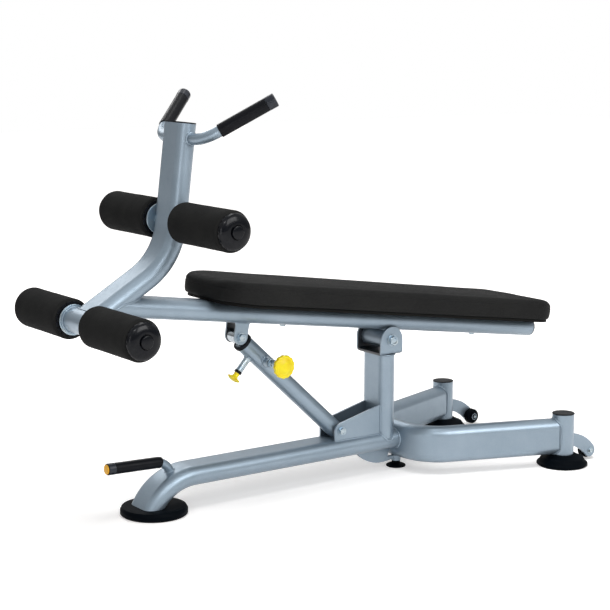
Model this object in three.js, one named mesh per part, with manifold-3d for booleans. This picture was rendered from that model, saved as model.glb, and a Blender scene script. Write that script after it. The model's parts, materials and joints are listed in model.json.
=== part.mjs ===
// Adjustable decline bench with a leg-hold column.
// Millimetres, +Z up, X from the leg rollers (-X) to the head end (+X), Y across the bench.
// The lengthwise positions below are counted from the centre of the front foot, and one group
// at the end moves the whole bench so that the origin is on the floor under its middle.
import * as THREE from "three";
import { mergeVertices } from "three/addons/utils/BufferGeometryUtils.js";
import Module from "manifold-3d";

const wasm = await Module();
wasm.setup();

// ---------- driving dimensions ----------
const GAP = 0.3; // running and weld gap between touching pieces
const MIDDLE_X = 521; // front foot to the middle of the bench

// Facets round a full circle; multiples of 4 keep rounds that mate in step.
const ROUND = { tube: 20, grip: 16, bar: 12, shank: 8 };
const BEND_STEP = 20; // degrees between the stations of a tube bend

const TUBE = { width: 100, depth: 50, wall: 3 }; // flat-oval frame tube

const FRONT_FOOT = { radius: 84, height: 22 };
const SPINE = { z: 87, bendX: 100, bendRadius: 138.6, bendAngle: 68 };
const LEG = { z: 82, apexX: 764, bendRadius: 100, cornerY: 118 };
const POST = { x: 1150, y: 253, radius: 30, wall: 3, bottom: 32, top: 144 };
const REAR_FOOT = { radius: 70, neck: 38, height: 31.7 };
const WHEEL = { x: 1253, z: 25, radius: 22, width: 18, plate: 8, axle: 6 };

const PIVOT = { x: 704, z: 366 }; // bench pivot, over the upright
const YOKE = { radius: 36, inner: 47, plate: 7, floor: 326 };

const TILT = THREE.MathUtils.degToRad(8.02); // slope of the seat rail at its lowest setting
const RAIL = { z: 50.5, rear: 520, front: -870 }; // in the rail's own frame, from the pivot
const PAD = { front: -580, rear: 543, frontHalf: 150, rearHalf: 138, corner: 90, thick: 57 };
const BOARD = { thick: 7.4, inset: 12, rearInset: 8 };
const PAD_BOLTS = { front: -323.7, rear: 329.7 }; // up through the rail into the board
const PAD_BOLT_RADIUS = 4;

const LOWER_ROLLER = { x: -183, z: 497 };
const UPPER_ROLLER = { x: 57.6, z: 724 };
const COLUMN = { corner: { x: 46.7, z: 632.2 }, top: { x: 87, z: 957 }, bendRadius: 170 };
const CROSS_TUBE_RADIUS = 30;
const AXLE_RADIUS = 12.5;
const ROLLER = { inner: 58, outer: 276, radius: 50, core: 21, dome: 44, domeHeight: 17 };

const STRUT_TOP = { x: 244, z: 419 }; // clevis pin under the rail
const STRUT_FOOT = { x: 552, z: 136 }; // bolt between the bracket plates
const STRUT = { outer: 23, wall: 3, inner: 19, innerWall: 2.6, from: 30 };
const INNER = { from: 24, to: 330, keyway: 11, depth: 2.2, settings: 5, pitch: 23, eyeBore: 8.6 };
const FOOT_BUSH = 11; // cross bush that the strut's foot bolt runs in
const CLEVIS = { radius: 19, inner: 17.5, plate: 6 };
const BRACKET = { inner: 29, plate: 6, top: 189, front: 531 };
const PIN = { at: 67, radius: 5, housing: 9 }; // pop-pin, from the clevis pin along the strut
const PIN_NOSE = STRUT.inner - INNER.depth + 0.5;
const CLAMP = { at: 105, boss: 13, knob: 30, lobes: 12 };
const LEVELLER = { x: 766, radius: 27 };

const HANDLE_TUBE = 14;
const TOP_GRIP = 17;
const HANDLE = {
  start: new THREE.Vector3(119, -125, 943), // where the grip begins
  grip: new THREE.Vector3(0.695, -0.525, 0.491).normalize(),
  corner: 44, // from the grip's start back to the corner of the bend
  bendRadius: 72,
  rootY: -44,
  gripLength: 147,
};
const CARRY_TUBE = 11;
const CARRY_GRIP = 14.5;
const CARRY = { slope: 1.8, straight: 134, bend: 62, radius: 42, reach: 30 };

// ---------- materials ----------
const material = (color, roughness, metalness = 0) =>
  new THREE.MeshStandardMaterial({ color, roughness, metalness });
const paint = () => material(0x93a1ae, 0.35, 0.6);
const zinc = () => material(0xb9c0c4, 0.3, 0.9);
const chrome = () => material(0xd0d4d8, 0.15, 1);
const black = () => material(0x16171b, 0.45);
const rubber = () => material(0x141519, 0.75);
const foam = () => material(0x1d1d1f, 0.95);
const vinyl = () => material(0x242424, 0.55);
const yellow = () => material(0xf2d21a, 0.4);
const board = () => material(0x101010, 0.8);

// ---------- solids ----------
// A three.js geometry as a manifold solid, turned right side out.
function solid(geometry) {
  const bare = geometry.index ? geometry.toNonIndexed() : geometry.clone();
  bare.deleteAttribute("normal");
  bare.deleteAttribute("uv");
  const merged = mergeVertices(bare, 1e-4);
  const corners = new Uint32Array(merged.index.array);
  const vertices = merged.attributes.position.array;
  const build = () =>
    new wasm.Manifold(new wasm.Mesh({ numProp: 3, vertProperties: vertices, triVerts: corners }));
  const first = build();
  if (first.volume() >= 0) return first;
  for (let i = 0; i < corners.length; i += 3) {
    [corners[i + 1], corners[i + 2]] = [corners[i + 2], corners[i + 1]];
  }
  return build();
}

function geometryOf(body) {
  const mesh = body.getMesh();
  const geometry = new THREE.BufferGeometry();
  geometry.setAttribute("position", new THREE.Float32BufferAttribute(mesh.vertProperties, 3));
  geometry.setIndex(new THREE.Uint32BufferAttribute(mesh.triVerts, 1));
  return geometry;
}

const join = (...bodies) => bodies.reduce((sum, body) => sum.add(body));
const cut = (body, ...tools) => tools.reduce((rest, tool) => rest.subtract(tool), body);

// ---------- outlines ----------
const QUARTER = Math.PI / 2;

function oval(PathClass, width, depth) {
  const radius = depth / 2;
  const reach = width / 2 - radius;
  const path = new PathClass();
  path.absarc(reach, 0, radius, -Math.PI / 2, Math.PI / 2, false);
  path.absarc(-reach, 0, radius, Math.PI / 2, (3 * Math.PI) / 2, false);
  return path;
}

// Flat-oval tube section, its long side along the outline's x; grow swells it for a cutter.
function ovalTube({ hollow = true, grow = 0 } = {}) {
  const shape = oval(THREE.Shape, TUBE.width + 2 * grow, TUBE.depth + 2 * grow);
  const bore = 2 * TUBE.wall;
  if (hollow) shape.holes.push(oval(THREE.Path, TUBE.width - bore, TUBE.depth - bore));
  return shape;
}

function ring(outer, inner) {
  const shape = new THREE.Shape().absarc(0, 0, outer, 0, 2 * Math.PI, false);
  if (inner) shape.holes.push(new THREE.Path().absarc(0, 0, inner, 0, 2 * Math.PI, true));
  return shape;
}

// Plan of the pad and its board, a little wider at the seat end than at the head end.
function padPlan(inset, rearInset = inset) {
  const { front, rear, frontHalf, rearHalf, corner } = PAD;
  const r = corner - inset;
  const x = rear - corner + inset - rearInset;
  const shape = new THREE.Shape();
  shape.absarc(x, corner - rearHalf, r, -QUARTER, 0, false);
  shape.absarc(x, rearHalf - corner, r, 0, QUARTER, false);
  shape.absarc(front + corner, frontHalf - corner, r, QUARTER, 2 * QUARTER, false);
  shape.absarc(front + corner, corner - frontHalf, r, 2 * QUARTER, 3 * QUARTER, false);
  return shape;
}

// ---------- operations ----------
// A bent tube's centre line: straight runs and round bends in one plane, with stations only
// at the ends of the runs and round the bends. Positive bends turn from heading towards side.
class BentRoute extends THREE.Curve {
  constructor(start, heading, side) {
    super();
    this.at = start.clone();
    this.heading = heading.clone().normalize();
    this.side = side.clone().normalize();
    this.normal = this.heading.clone().cross(this.side);
    this.stations = [{ point: this.at.clone(), tangent: this.heading.clone() }];
  }
  mark() {
    this.stations.push({ point: this.at.clone(), tangent: this.heading.clone() });
  }
  ahead(length) {
    this.at.addScaledVector(this.heading, length);
    this.mark();
    return this;
  }
  bend(degrees, radius) {
    const count = Math.ceil(Math.abs(degrees) / BEND_STEP);
    const turn = THREE.MathUtils.degToRad(degrees) / count;
    const sense = Math.sign(degrees);
    const centre = this.at.clone().addScaledVector(this.side, sense * radius);
    for (let i = 0; i < count; i += 1) {
      this.heading.applyAxisAngle(this.normal, turn);
      this.side.applyAxisAngle(this.normal, turn);
      this.at.copy(centre).addScaledVector(this.side, -sense * radius);
      this.mark();
    }
    return this;
  }
  get steps() {
    return this.stations.length - 1;
  }
  getPoint(t) {
    return this.stations[Math.round(t * this.steps)].point.clone();
  }
  getPointAt(t) {
    return this.getPoint(t);
  }
  getTangentAt(t) {
    return this.stations[Math.round(t * this.steps)].tangent.clone();
  }
  computeFrenetFrames(count) {
    const tangents = [];
    const normals = [];
    const binormals = [];
    for (let i = 0; i <= count; i += 1) {
      const tangent = this.getTangentAt(i / count);
      tangents.push(tangent);
      normals.push(this.normal.clone());
      binormals.push(tangent.clone().cross(this.normal));
    }
    return { tangents, normals, binormals };
  }
}

// Sweeps an outline along a route: the outline's x follows the normal of the route's plane.
function sweep(shape, route, curveSegments = 4) {
  const options = { steps: route.steps, extrudePath: route, curveSegments, bevelEnabled: false };
  return solid(new THREE.ExtrudeGeometry(shape, options));
}

// Extrudes an outline along +Z from z0 to z1.
function slab(shape, z0, z1, curveSegments = 8) {
  const options = { depth: z1 - z0, bevelEnabled: false, curveSegments };
  return solid(new THREE.ExtrudeGeometry(shape, options).translate(0, 0, z0));
}

// Turns a body made in X and Y so that it stands in the XZ plane, its depth along -Y.
const upright = (body) => body.rotate([90, 0, 0]);

// Extrudes an outline drawn in X and Z across the bench, from y0 to y1.
const plate = (shape, y0, y1, curveSegments) => upright(slab(shape, -y1, -y0, curveSegments));

// Revolves [radius, height] points about Z.
function turned(profile, segments = ROUND.tube) {
  const points = profile.map(([r, z]) => new THREE.Vector2(r, z));
  return solid(new THREE.LatheGeometry(points, segments).rotateX(QUARTER));
}

// A body made about Z, laid along Y: its height runs along +Y, or along -Y for side -1.
const across = (body, side = 1) => body.rotate([-90 * side, 0, 0]);

function cylinder(radius, z0, z1, segments = ROUND.tube) {
  return turned([[0, z0], [radius, z0], [radius, z1], [0, z1]], segments);
}

// A cylinder along Y at (x, z).
const crossCylinder = (radius, y0, y1, x, z, segments) =>
  across(cylinder(radius, y0, y1, segments)).translate([x, 0, z]);

function box(x0, x1, y0, y1, z0, z1) {
  const geometry = new THREE.BoxGeometry(x1 - x0, y1 - y0, z1 - z0);
  return solid(geometry.translate((x0 + x1) / 2, (y0 + y1) / 2, (z0 + z1) / 2));
}

// Hexagon bolt across the bench: washer and head on the -Y side, washer and nut on +Y.
function hexBolt(radius, halfGrip, x, z) {
  const head = radius * 1.75;
  const washer = radius * 2.05;
  const stack = (side) => {
    const y = side * (halfGrip + GAP);
    const disc = across(cylinder(washer, 0, 2, ROUND.bar), side).translate([0, y, 0]);
    const hex = across(cylinder(head, 1.9, 1.9 + radius * 1.1, 6), side).translate([0, y, 0]);
    return join(disc, hex);
  };
  const shank = across(cylinder(radius, -halfGrip - 2, halfGrip + 2, ROUND.shank));
  return join(shank, stack(-1), stack(1)).translate([x, 0, z]);
}

// ---------- scene ----------
const bench = new THREE.Group();
bench.position.x = -MIDDLE_X;
const tilted = new THREE.Group(); // the seat rail's frame: x along the rail, from the pivot
tilted.position.set(PIVOT.x, 0, PIVOT.z);
tilted.rotation.y = TILT;
bench.add(tilted);

const strutLine = new THREE.Vector2(STRUT_FOOT.x - STRUT_TOP.x, STRUT_FOOT.z - STRUT_TOP.z);
const STRUT_LENGTH = strutLine.length();
const STRUT_ANGLE = Math.atan2(-strutLine.y, strutLine.x); // below the horizontal
// The strut's frame: its length down local X from the clevis pin, local -Z towards the pop-pin.
const strut = new THREE.Group();
strut.position.set(STRUT_TOP.x, 0, STRUT_TOP.z);
strut.rotation.y = STRUT_ANGLE;
bench.add(strut);

function add(group, name, body, finish) {
  const mesh = new THREE.Mesh(geometryOf(body), finish);
  mesh.name = name;
  group.add(mesh);
}

const SIDES = [
  { name: "left", y: -1 },
  { name: "right", y: 1 },
];
const mirrorY = (body) => body.mirror([0, 1, 0]);
const onSide = (body, side) => (side.y < 0 ? body : mirrorY(body));

const Y = new THREE.Vector3(0, 1, 0);
const Z = new THREE.Vector3(0, 0, 1);

// ---------- base frame ----------
function frontFoot() {
  const { radius: r, height: h } = FRONT_FOOT;
  const profile = [[0, 0], [r - 4, 0], [r, 3], [r, h - 8], [r - 3, h - 6], [r - 4, h], [0, h]];
  return turned(profile);
}

// The spine runs level under the bench and curves down to the front foot.
function spineRoute() {
  const angle = THREE.MathUtils.degToRad(SPINE.bendAngle);
  const centreZ = SPINE.z - SPINE.bendRadius;
  const start = new THREE.Vector3(
    SPINE.bendX - SPINE.bendRadius * Math.sin(angle),
    0,
    centreZ + SPINE.bendRadius * Math.cos(angle),
  );
  const heading = new THREE.Vector3(Math.cos(angle), 0, Math.sin(angle));
  const side = new THREE.Vector3(-Math.sin(angle), 0, Math.cos(angle));
  const level = LEG.apexX - TUBE.depth / 2 - GAP - SPINE.bendX;
  return new BentRoute(start, heading, side).bend(-SPINE.bendAngle, SPINE.bendRadius).ahead(level);
}

const spineCutter = sweep(ovalTube({ hollow: false, grow: GAP }), spineRoute());

function spine() {
  const floor = box(-200, 200, -80, 80, -100, FRONT_FOOT.height + GAP);
  return cut(sweep(ovalTube(), spineRoute()), floor);
}

// One tube bent like a hairpin, standing on edge: its apex takes the spine, its ends the posts.
function rearLegs() {
  const run = new THREE.Vector2(POST.x - LEG.apexX, POST.y - LEG.cornerY);
  const turn = THREE.MathUtils.radToDeg(Math.atan2(run.x, run.y));
  const tangent = LEG.bendRadius * Math.tan(THREE.MathUtils.degToRad(turn / 2));
  const heading = new THREE.Vector3(-run.x, run.y, 0).normalize();
  const side = new THREE.Vector3(-heading.y, heading.x, 0).negate();
  const start = new THREE.Vector3(POST.x, -POST.y, LEG.z);
  const route = new BentRoute(start, heading, side)
    .ahead(run.length() - tangent)
    .bend(turn, LEG.bendRadius)
    .ahead(2 * (LEG.cornerY - tangent))
    .bend(turn, LEG.bendRadius)
    .ahead(run.length() - tangent);
  const posts = SIDES.map((side) =>
    cylinder(POST.radius + GAP, 0, 200).translate([POST.x, side.y * POST.y, 0]),
  );
  return cut(sweep(ovalTube(), route), ...posts);
}

function rearPost() {
  const wall = ring(POST.radius, POST.radius - POST.wall);
  return slab(wall, POST.bottom, POST.top, ROUND.tube / 2);
}

function postCap() {
  const { radius: r, top } = POST;
  const bore = r - POST.wall - GAP;
  const z = top + GAP;
  const skirt = z - 12;
  const profile = [[0, skirt], [bore, skirt], [bore, z], [r + 1, z], [r, z + 2.5], [0, z + 3.4]];
  return turned(profile);
}

// Conical rubber foot with a plug that fills the post's bore.
function rearFoot() {
  const { radius: r, neck, height: h } = REAR_FOOT;
  const plug = POST.radius - POST.wall - GAP;
  const cone = [[0, 0], [r - 3, 0], [r, 3], [r - 1.5, 10], [r - 9, 22], [neck, h]];
  return turned([...cone, [plug, h], [plug, h + 22], [0, h + 22]]);
}

// Curved arm behind a rear post, with the stub axle of its transport wheel on the inner side.
function wheelArm() {
  const shape = new THREE.Shape();
  shape.moveTo(POST.x, 84);
  shape.lineTo(POST.x + 38, 83);
  shape.quadraticCurveTo(1236, 74, 1267, 37);
  shape.absarc(WHEEL.x, WHEEL.z, 18, 0.6, -2.05, true);
  shape.quadraticCurveTo(1218, 38, 1190, 46);
  shape.lineTo(POST.x, 46);
  const outer = -POST.y - 1 - WHEEL.plate / 2;
  const inner = outer + WHEEL.plate;
  const arm = plate(shape, outer, inner, 5);
  const tip = inner + WHEEL.width + 4;
  const axle = crossCylinder(WHEEL.axle, inner - 1, tip + 1, WHEEL.x, WHEEL.z, ROUND.shank);
  const head = crossCylinder(10, tip, tip + 4, WHEEL.x, WHEEL.z, ROUND.shank);
  const post = cylinder(POST.radius + GAP, 0, 200).translate([POST.x, -POST.y, 0]);
  return cut(join(arm, axle, head), post);
}

function wheel() {
  const { radius: r, width: w, axle } = WHEEL;
  const bore = axle + GAP;
  const tread = [[r - 4, 0], [r, 3], [r, w - 3], [r - 4, w]];
  const profile = [[bore, 0], ...tread, [bore, w], [bore, 0]];
  const inner = -POST.y - 1 + WHEEL.plate / 2 + 2;
  return across(turned(profile, ROUND.grip)).translate([WHEEL.x, inner, WHEEL.z]);
}

function uprightPost() {
  const tube = slab(ovalTube(), SPINE.z, YOKE.floor - GAP, 4).rotate([0, 0, 90]);
  return cut(tube.translate([PIVOT.x, 0, 0]), spineCutter);
}

// Bent plate: a floor on the upright and two round-topped ears that hold the pivot bolt.
function yoke() {
  const { radius: r, inner, plate: t, floor } = YOKE;
  const outer = inner + t;
  const bendOut = 12;
  const folded = new THREE.Shape();
  folded.moveTo(-outer, PIVOT.z + r + 5);
  folded.lineTo(-outer, floor + bendOut);
  folded.absarc(-outer + bendOut, floor + bendOut, bendOut, Math.PI, 3 * QUARTER, false);
  folded.absarc(outer - bendOut, floor + bendOut, bendOut, 3 * QUARTER, 4 * QUARTER, false);
  folded.lineTo(outer, PIVOT.z + r + 5);
  folded.lineTo(inner, PIVOT.z + r + 5);
  folded.absarc(outer - bendOut, floor + bendOut, bendOut - t, 0, -QUARTER, true);
  folded.absarc(-outer + bendOut, floor + bendOut, bendOut - t, -QUARTER, -2 * QUARTER, true);
  folded.lineTo(-inner, PIVOT.z + r + 5);
  const channel = slab(folded, -r, r, 3).rotate([90, 0, 0]).rotate([0, 0, 90]);
  const ear = new THREE.Shape();
  ear.absarc(0, PIVOT.z, r, 0, Math.PI, false);
  ear.absarc(-r + 6, floor + 6 - 1, 6, Math.PI, 3 * QUARTER, false);
  ear.absarc(r - 6, floor + 6 - 1, 6, 3 * QUARTER, 4 * QUARTER, false);
  const outline = plate(ear, -outer - 1, outer + 1, 6);
  const bolt = crossCylinder(8 + GAP, -outer - 1, outer + 1, 0, PIVOT.z, ROUND.shank);
  return cut(channel.intersect(outline), bolt).translate([PIVOT.x, 0, 0]);
}

// Side plate between the spine and the upright, with the strut's lower bolt.
function strutBracket() {
  const back = PIVOT.x - TUBE.depth / 2 - GAP;
  const floor = SPINE.z + TUBE.depth / 2 + GAP;
  const shape = new THREE.Shape();
  shape.moveTo(BRACKET.front, floor - 6);
  shape.lineTo(back + 8, floor - 6);
  shape.lineTo(back + 8, BRACKET.top + 2);
  shape.lineTo(BRACKET.front + 22, 158);
  shape.quadraticCurveTo(BRACKET.front, 152, BRACKET.front, 140);
  const y = BRACKET.inner + BRACKET.plate;
  const sheet = plate(shape, -y, -BRACKET.inner, 5);
  const { x, z } = STRUT_FOOT;
  const bolt = crossCylinder(6 + GAP, -y - 1, -BRACKET.inner + 1, x, z, ROUND.shank);
  return cut(sheet, bolt, spineCutter, postCutter());
}

function postCutter() {
  const shape = ovalTube({ hollow: false, grow: GAP });
  return slab(shape, 80, 340, 4).rotate([0, 0, 90]).translate([PIVOT.x, 0, 0]);
}

// Belly gusset under the spine with the threaded boss of the levelling foot.
function levellerGusset() {
  const under = SPINE.z - TUBE.depth / 2 - GAP;
  const wall = LEG.apexX - TUBE.depth / 2 - GAP;
  const legUnder = LEG.z - TUBE.width / 2 - GAP;
  const shape = new THREE.Shape();
  shape.moveTo(622, under);
  shape.quadraticCurveTo(652, 27, 694, 20);
  shape.quadraticCurveTo(722, 17, 752, 24);
  shape.lineTo(756, legUnder);
  shape.lineTo(wall - 6, legUnder);
  shape.lineTo(wall, legUnder + 26);
  shape.lineTo(wall, under);
  const web = plate(shape, -5, 5, 6);
  const boss = cylinder(13, 17, legUnder, ROUND.grip);
  const bore = cylinder(6 + GAP, 10, 40, ROUND.bar);
  const at = [LEVELLER.x, 0, 0];
  return cut(join(web, boss.translate(at)), bore.translate(at));
}

function levellingFoot() {
  const r = LEVELLER.radius;
  const profile = [[0, 0], [r - 1, 0], [r, 1.5], [r, 4], [r - 4, 6.5], [11, 10.5], [0, 10.5]];
  const disc = turned(profile, ROUND.grip);
  const nut = cylinder(10, 10, 16, 6);
  const stem = cylinder(6, 10, 30, ROUND.shank);
  return join(disc, nut, stem).translate([LEVELLER.x, 0, 0]);
}

// Carrying handle: a straight grip over the front foot that bends down into the spine.
function carryStart(x, z) {
  const slope = THREE.MathUtils.degToRad(CARRY.slope);
  const heading = new THREE.Vector3(Math.cos(slope), 0, -Math.sin(slope));
  const side = new THREE.Vector3(Math.sin(slope), 0, Math.cos(slope));
  return new BentRoute(new THREE.Vector3(x, 0, z), heading, side);
}

const carryRoute = () =>
  carryStart(-126, 132).ahead(CARRY.straight).bend(-CARRY.bend, CARRY.radius).ahead(CARRY.reach);

const carryTube = () => cut(sweep(ring(CARRY_TUBE, 8.5), carryRoute(), ROUND.bar / 2), spineCutter);

function carryGrip() {
  const route = carryStart(-129, 132.1).ahead(CARRY.straight + 3).bend(-16, CARRY.radius);
  return sweep(ring(CARRY_GRIP, CARRY_TUBE + GAP), route, ROUND.bar / 2);
}

function carryPlug() {
  const head = 12.2;
  const stem = 8.5 - GAP;
  const profile = [[0, 0], [head - 2, 0], [head, 1.2], [head, 3.2], [stem, 3.2], [stem, 14], [0, 14]];
  return turned(profile, ROUND.bar).rotate([0, 90 + CARRY.slope, 0]).translate([-132.5, 0, 132.2]);
}

// ---------- bench: rail, pad, column ----------
function columnRoute() {
  const { corner, top, bendRadius } = COLUMN;
  const low = new THREE.Vector3(LOWER_ROLLER.x, 0, LOWER_ROLLER.z);
  const lower = new THREE.Vector3(corner.x, 0, corner.z).sub(low);
  const upper = new THREE.Vector3(top.x - corner.x, 0, top.z - corner.z);
  const turn = lower.angleTo(upper);
  const tangent = bendRadius * Math.tan(turn / 2);
  const heading = lower.clone().normalize();
  const side = new THREE.Vector3(-heading.z, 0, heading.x);
  return new BentRoute(low, heading, side)
    .ahead(lower.length() - tangent)
    .bend(THREE.MathUtils.radToDeg(turn), bendRadius)
    .ahead(upper.length() - tangent);
}

const columnCutter = sweep(ovalTube({ hollow: false, grow: GAP }), columnRoute());

function column() {
  const hole = (radius, { x, z }) => crossCylinder(radius + GAP, -80, 80, x, z, ROUND.grip);
  const cross = hole(CROSS_TUBE_RADIUS, LOWER_ROLLER);
  const bore = hole(AXLE_RADIUS, UPPER_ROLLER);
  return cut(sweep(ovalTube(), columnRoute()), cross, bore);
}

// Thin plastic cap with a skirt that plugs the end of a frame tube, made for a tube along +Z.
function tubeCap() {
  const bore = 2 * (TUBE.wall + GAP);
  const lid = slab(oval(THREE.Shape, TUBE.width, TUBE.depth), GAP, GAP + 3, 4);
  const skirt = slab(oval(THREE.Shape, TUBE.width - bore, TUBE.depth - bore), -12, GAP + 1, 4);
  return join(lid, skirt).rotate([0, 0, 90]);
}

// The cap sits square on the leaning column.
function columnCap() {
  const lean = Math.atan2(COLUMN.top.x - COLUMN.corner.x, COLUMN.top.z - COLUMN.corner.z);
  return tubeCap()
    .rotate([0, THREE.MathUtils.radToDeg(lean), 0])
    .translate([COLUMN.top.x, 0, COLUMN.top.z]);
}

// Axle bar with a welded stop flange on each side of the column. The lower one also carries
// the cross tube that the column is welded to.
function rollerAxle(axis, core) {
  const wide = TUBE.width / 2;
  const face = 38;
  const half = [[core, wide], [face - 1, wide], [face, wide + 5]];
  const end = [[AXLE_RADIUS, wide + 5], [AXLE_RADIUS, 268], [0, 268]];
  const right = [...half, ...end];
  const left = right.map(([r, y]) => [r, -y]).reverse();
  return across(turned([...left, ...right], ROUND.grip)).translate([axis.x, 0, axis.z]);
}

// Foam sleeve on a plastic core, made for the -Y side and mirrored.
function foamSleeve(axis) {
  const { inner, outer, radius: r, core } = ROLLER;
  const bore = core + GAP;
  const from = inner + 3 + GAP;
  const outside = [[bore, from], [r, from], [r, outer - 5], [r - 5, outer]];
  const sleeve = turned([...outside, [bore, outer], [bore, from]], ROUND.grip);
  return across(sleeve, -1).translate([axis.x, 0, axis.z]);
}

function rollerCore(axis) {
  const { inner, outer, core, dome: d, domeHeight: h } = ROLLER;
  const bore = AXLE_RADIUS + GAP;
  const face = outer + GAP;
  const hub = [[bore, inner], [d, inner], [d, inner + 3], [core, inner + 3], [core, face]];
  const domed = [[d, face], [d, face + 3], [d - 8, face + 11], [16.5, face + h]];
  const button = [[15.5, face + h + 5.5], [0, face + h + 7.5]];
  const hollow = [[0, 271], [bore, 271], [bore, inner]];
  const spool = turned([...hub, ...domed, ...button, ...hollow], ROUND.grip);
  return across(spool, -1).translate([axis.x, 0, axis.z]);
}

// Handlebar beside the column top: out of the tube's side, then back and up to the grip.
function handleRoute() {
  const { start, grip, corner, bendRadius, rootY } = HANDLE;
  const heading = Y.clone().negate();
  const side = grip.clone().addScaledVector(heading, -grip.dot(heading)).normalize();
  const turn = heading.angleTo(grip);
  const tangent = bendRadius * Math.tan(turn / 2);
  const elbow = start.clone().addScaledVector(grip, -corner);
  const root = new THREE.Vector3(elbow.x, rootY, elbow.z);
  return new BentRoute(root, heading, side)
    .ahead(rootY - elbow.y - tangent)
    .bend(THREE.MathUtils.radToDeg(turn), bendRadius)
    .ahead(corner - tangent);
}

function topHandle() {
  const route = handleRoute().ahead(HANDLE.gripLength);
  return cut(sweep(ring(HANDLE_TUBE, HANDLE_TUBE - 2.5), route, ROUND.bar / 2), columnCutter);
}

// Closed rubber sleeve on the last straight of the handlebar.
function topGrip() {
  const bore = HANDLE_TUBE + GAP;
  const length = HANDLE.gripLength;
  const r = TOP_GRIP;
  const outside = [[bore, 0], [r, 0], [r, length + 2.5], [r - 1.5, length + 4], [0, length + 4]];
  const inside = [[0, length + GAP], [bore, length + GAP], [bore, 0]];
  const sleeve = turned([...outside, ...inside], ROUND.grip);
  const turn = new THREE.Quaternion().setFromUnitVectors(Z, HANDLE.grip);
  const matrix = new THREE.Matrix4().compose(HANDLE.start, turn, new THREE.Vector3(1, 1, 1));
  return sleeve.transform(matrix.elements);
}

const padBoltHoles = () =>
  Object.values(PAD_BOLTS).map((x) =>
    cylinder(PAD_BOLT_RADIUS + GAP, 0, 2 * RAIL.z, ROUND.shank).translate([x, 0, 0]),
  );

// The seat rail runs forward into the column, and its front end is coped to fit it.
function seatRail() {
  const full = slab(ovalTube(), RAIL.front, RAIL.rear, 4).rotate([0, 0, 90]).rotate([0, 90, 0]);
  const place = new THREE.Matrix4().makeRotationY(TILT).setPosition(PIVOT.x, 0, PIVOT.z);
  const column = columnCutter.transform(place.invert().elements);
  const pieces = cut(full.translate([0, 0, RAIL.z]), column, ...padBoltHoles()).decompose();
  return pieces.reduce((best, piece) => (piece.volume() > best.volume() ? piece : best));
}

const railCap = () => tubeCap().rotate([0, 90, 0]).translate([RAIL.rear, 0, RAIL.z]);

// Sleeve welded under the rail, turning on the pivot bolt between the yoke's ears.
function pivotBarrel() {
  const radius = RAIL.z - TUBE.depth / 2 - GAP;
  const half = YOKE.inner - 0.6;
  return plate(ring(radius, 8 + GAP), -half, half, ROUND.tube / 2);
}

const BOARD_Z = RAIL.z + TUBE.depth / 2 + GAP;

const padBoard = () =>
  cut(
    slab(padPlan(BOARD.inset, BOARD.rearInset), BOARD_Z, BOARD_Z + BOARD.thick, 4),
    ...padBoltHoles(),
  );

// Hexagon bolt with its washer, from under the rail to just below the pad.
function padBolt(x) {
  const under = RAIL.z - TUBE.depth / 2 - GAP;
  const washer = cylinder(10, under - 1.6, under, ROUND.shank);
  const head = cylinder(7.4, under - 7, under - 1.5, 6);
  const shank = cylinder(PAD_BOLT_RADIUS, under - 1, BOARD_Z + BOARD.thick - 1, ROUND.shank);
  return join(washer, head, shank).translate([x, 0, 0]);
}

function pad() {
  const bevel = 11;
  const bottom = BOARD_Z + BOARD.thick + GAP;
  const options = {
    depth: PAD.thick - 2 * bevel,
    bevelThickness: bevel,
    bevelSize: bevel,
    bevelSegments: 2,
    curveSegments: 4,
  };
  return solid(new THREE.ExtrudeGeometry(padPlan(bevel), options).translate(0, 0, bottom + bevel));
}

// U-shaped clevis welded under the rail, in the rail's frame.
const clevisAt = new THREE.Vector3(STRUT_TOP.x - PIVOT.x, 0, STRUT_TOP.z - PIVOT.z).applyAxisAngle(Y, -TILT);

function clevis() {
  const { radius: r, inner, plate: t } = CLEVIS;
  const top = RAIL.z - TUBE.depth / 2 - GAP;
  const ear = new THREE.Shape();
  ear.moveTo(clevisAt.x + r + 3, top);
  ear.lineTo(clevisAt.x - r - 3, top);
  ear.quadraticCurveTo(clevisAt.x - r, top - 3, clevisAt.x - r, top - 8);
  ear.absarc(clevisAt.x, clevisAt.z, r, Math.PI, 2 * Math.PI, false);
  ear.quadraticCurveTo(clevisAt.x + r, top - 4, clevisAt.x + r + 3, top);
  const outer = inner + t;
  const bridge = box(clevisAt.x - r, clevisAt.x + r, -inner - 1, inner + 1, top - 5, top);
  const bore = crossCylinder(6 + GAP, -outer - 1, outer + 1, clevisAt.x, clevisAt.z, ROUND.shank);
  return cut(join(plate(ear, -outer, -inner, 5), plate(ear, inner, outer, 5), bridge), bore);
}

// ---------- strut, in its own frame ----------
const along = (body) => body.rotate([0, 90, 0]); // height to +X
const down = (body) => body.rotate([180, 0, 0]); // height to -Z

// Outer tube, its lower end rounded about the foot bolt so that it clears the spine.
function outerTube() {
  const { outer, wall, from } = STRUT;
  const tube = along(slab(ring(outer, outer - wall), from, STRUT_LENGTH + outer, ROUND.tube / 2));
  const end = new THREE.Shape();
  end.moveTo(from - 1, -outer - 1);
  end.lineTo(STRUT_LENGTH, -outer - 0.01);
  end.absarc(STRUT_LENGTH, 0, outer, -QUARTER, QUARTER, false);
  end.lineTo(from - 1, outer + 1);
  const side = plate(end, -outer - 1, outer + 1, ROUND.bar / 4);
  const bush = crossCylinder(FOOT_BUSH + GAP, -40, 40, STRUT_LENGTH, 0, ROUND.bar);
  const pinHole = down(cylinder(PIN.radius + GAP, 0, 40, ROUND.shank)).translate([PIN.at, 0, 0]);
  const clampHole = across(cylinder(6 + GAP, 0, 40, ROUND.bar), -1).translate([CLAMP.at, 0, 0]);
  return cut(tube.intersect(side), bush, pinHole, clampHole);
}

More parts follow.
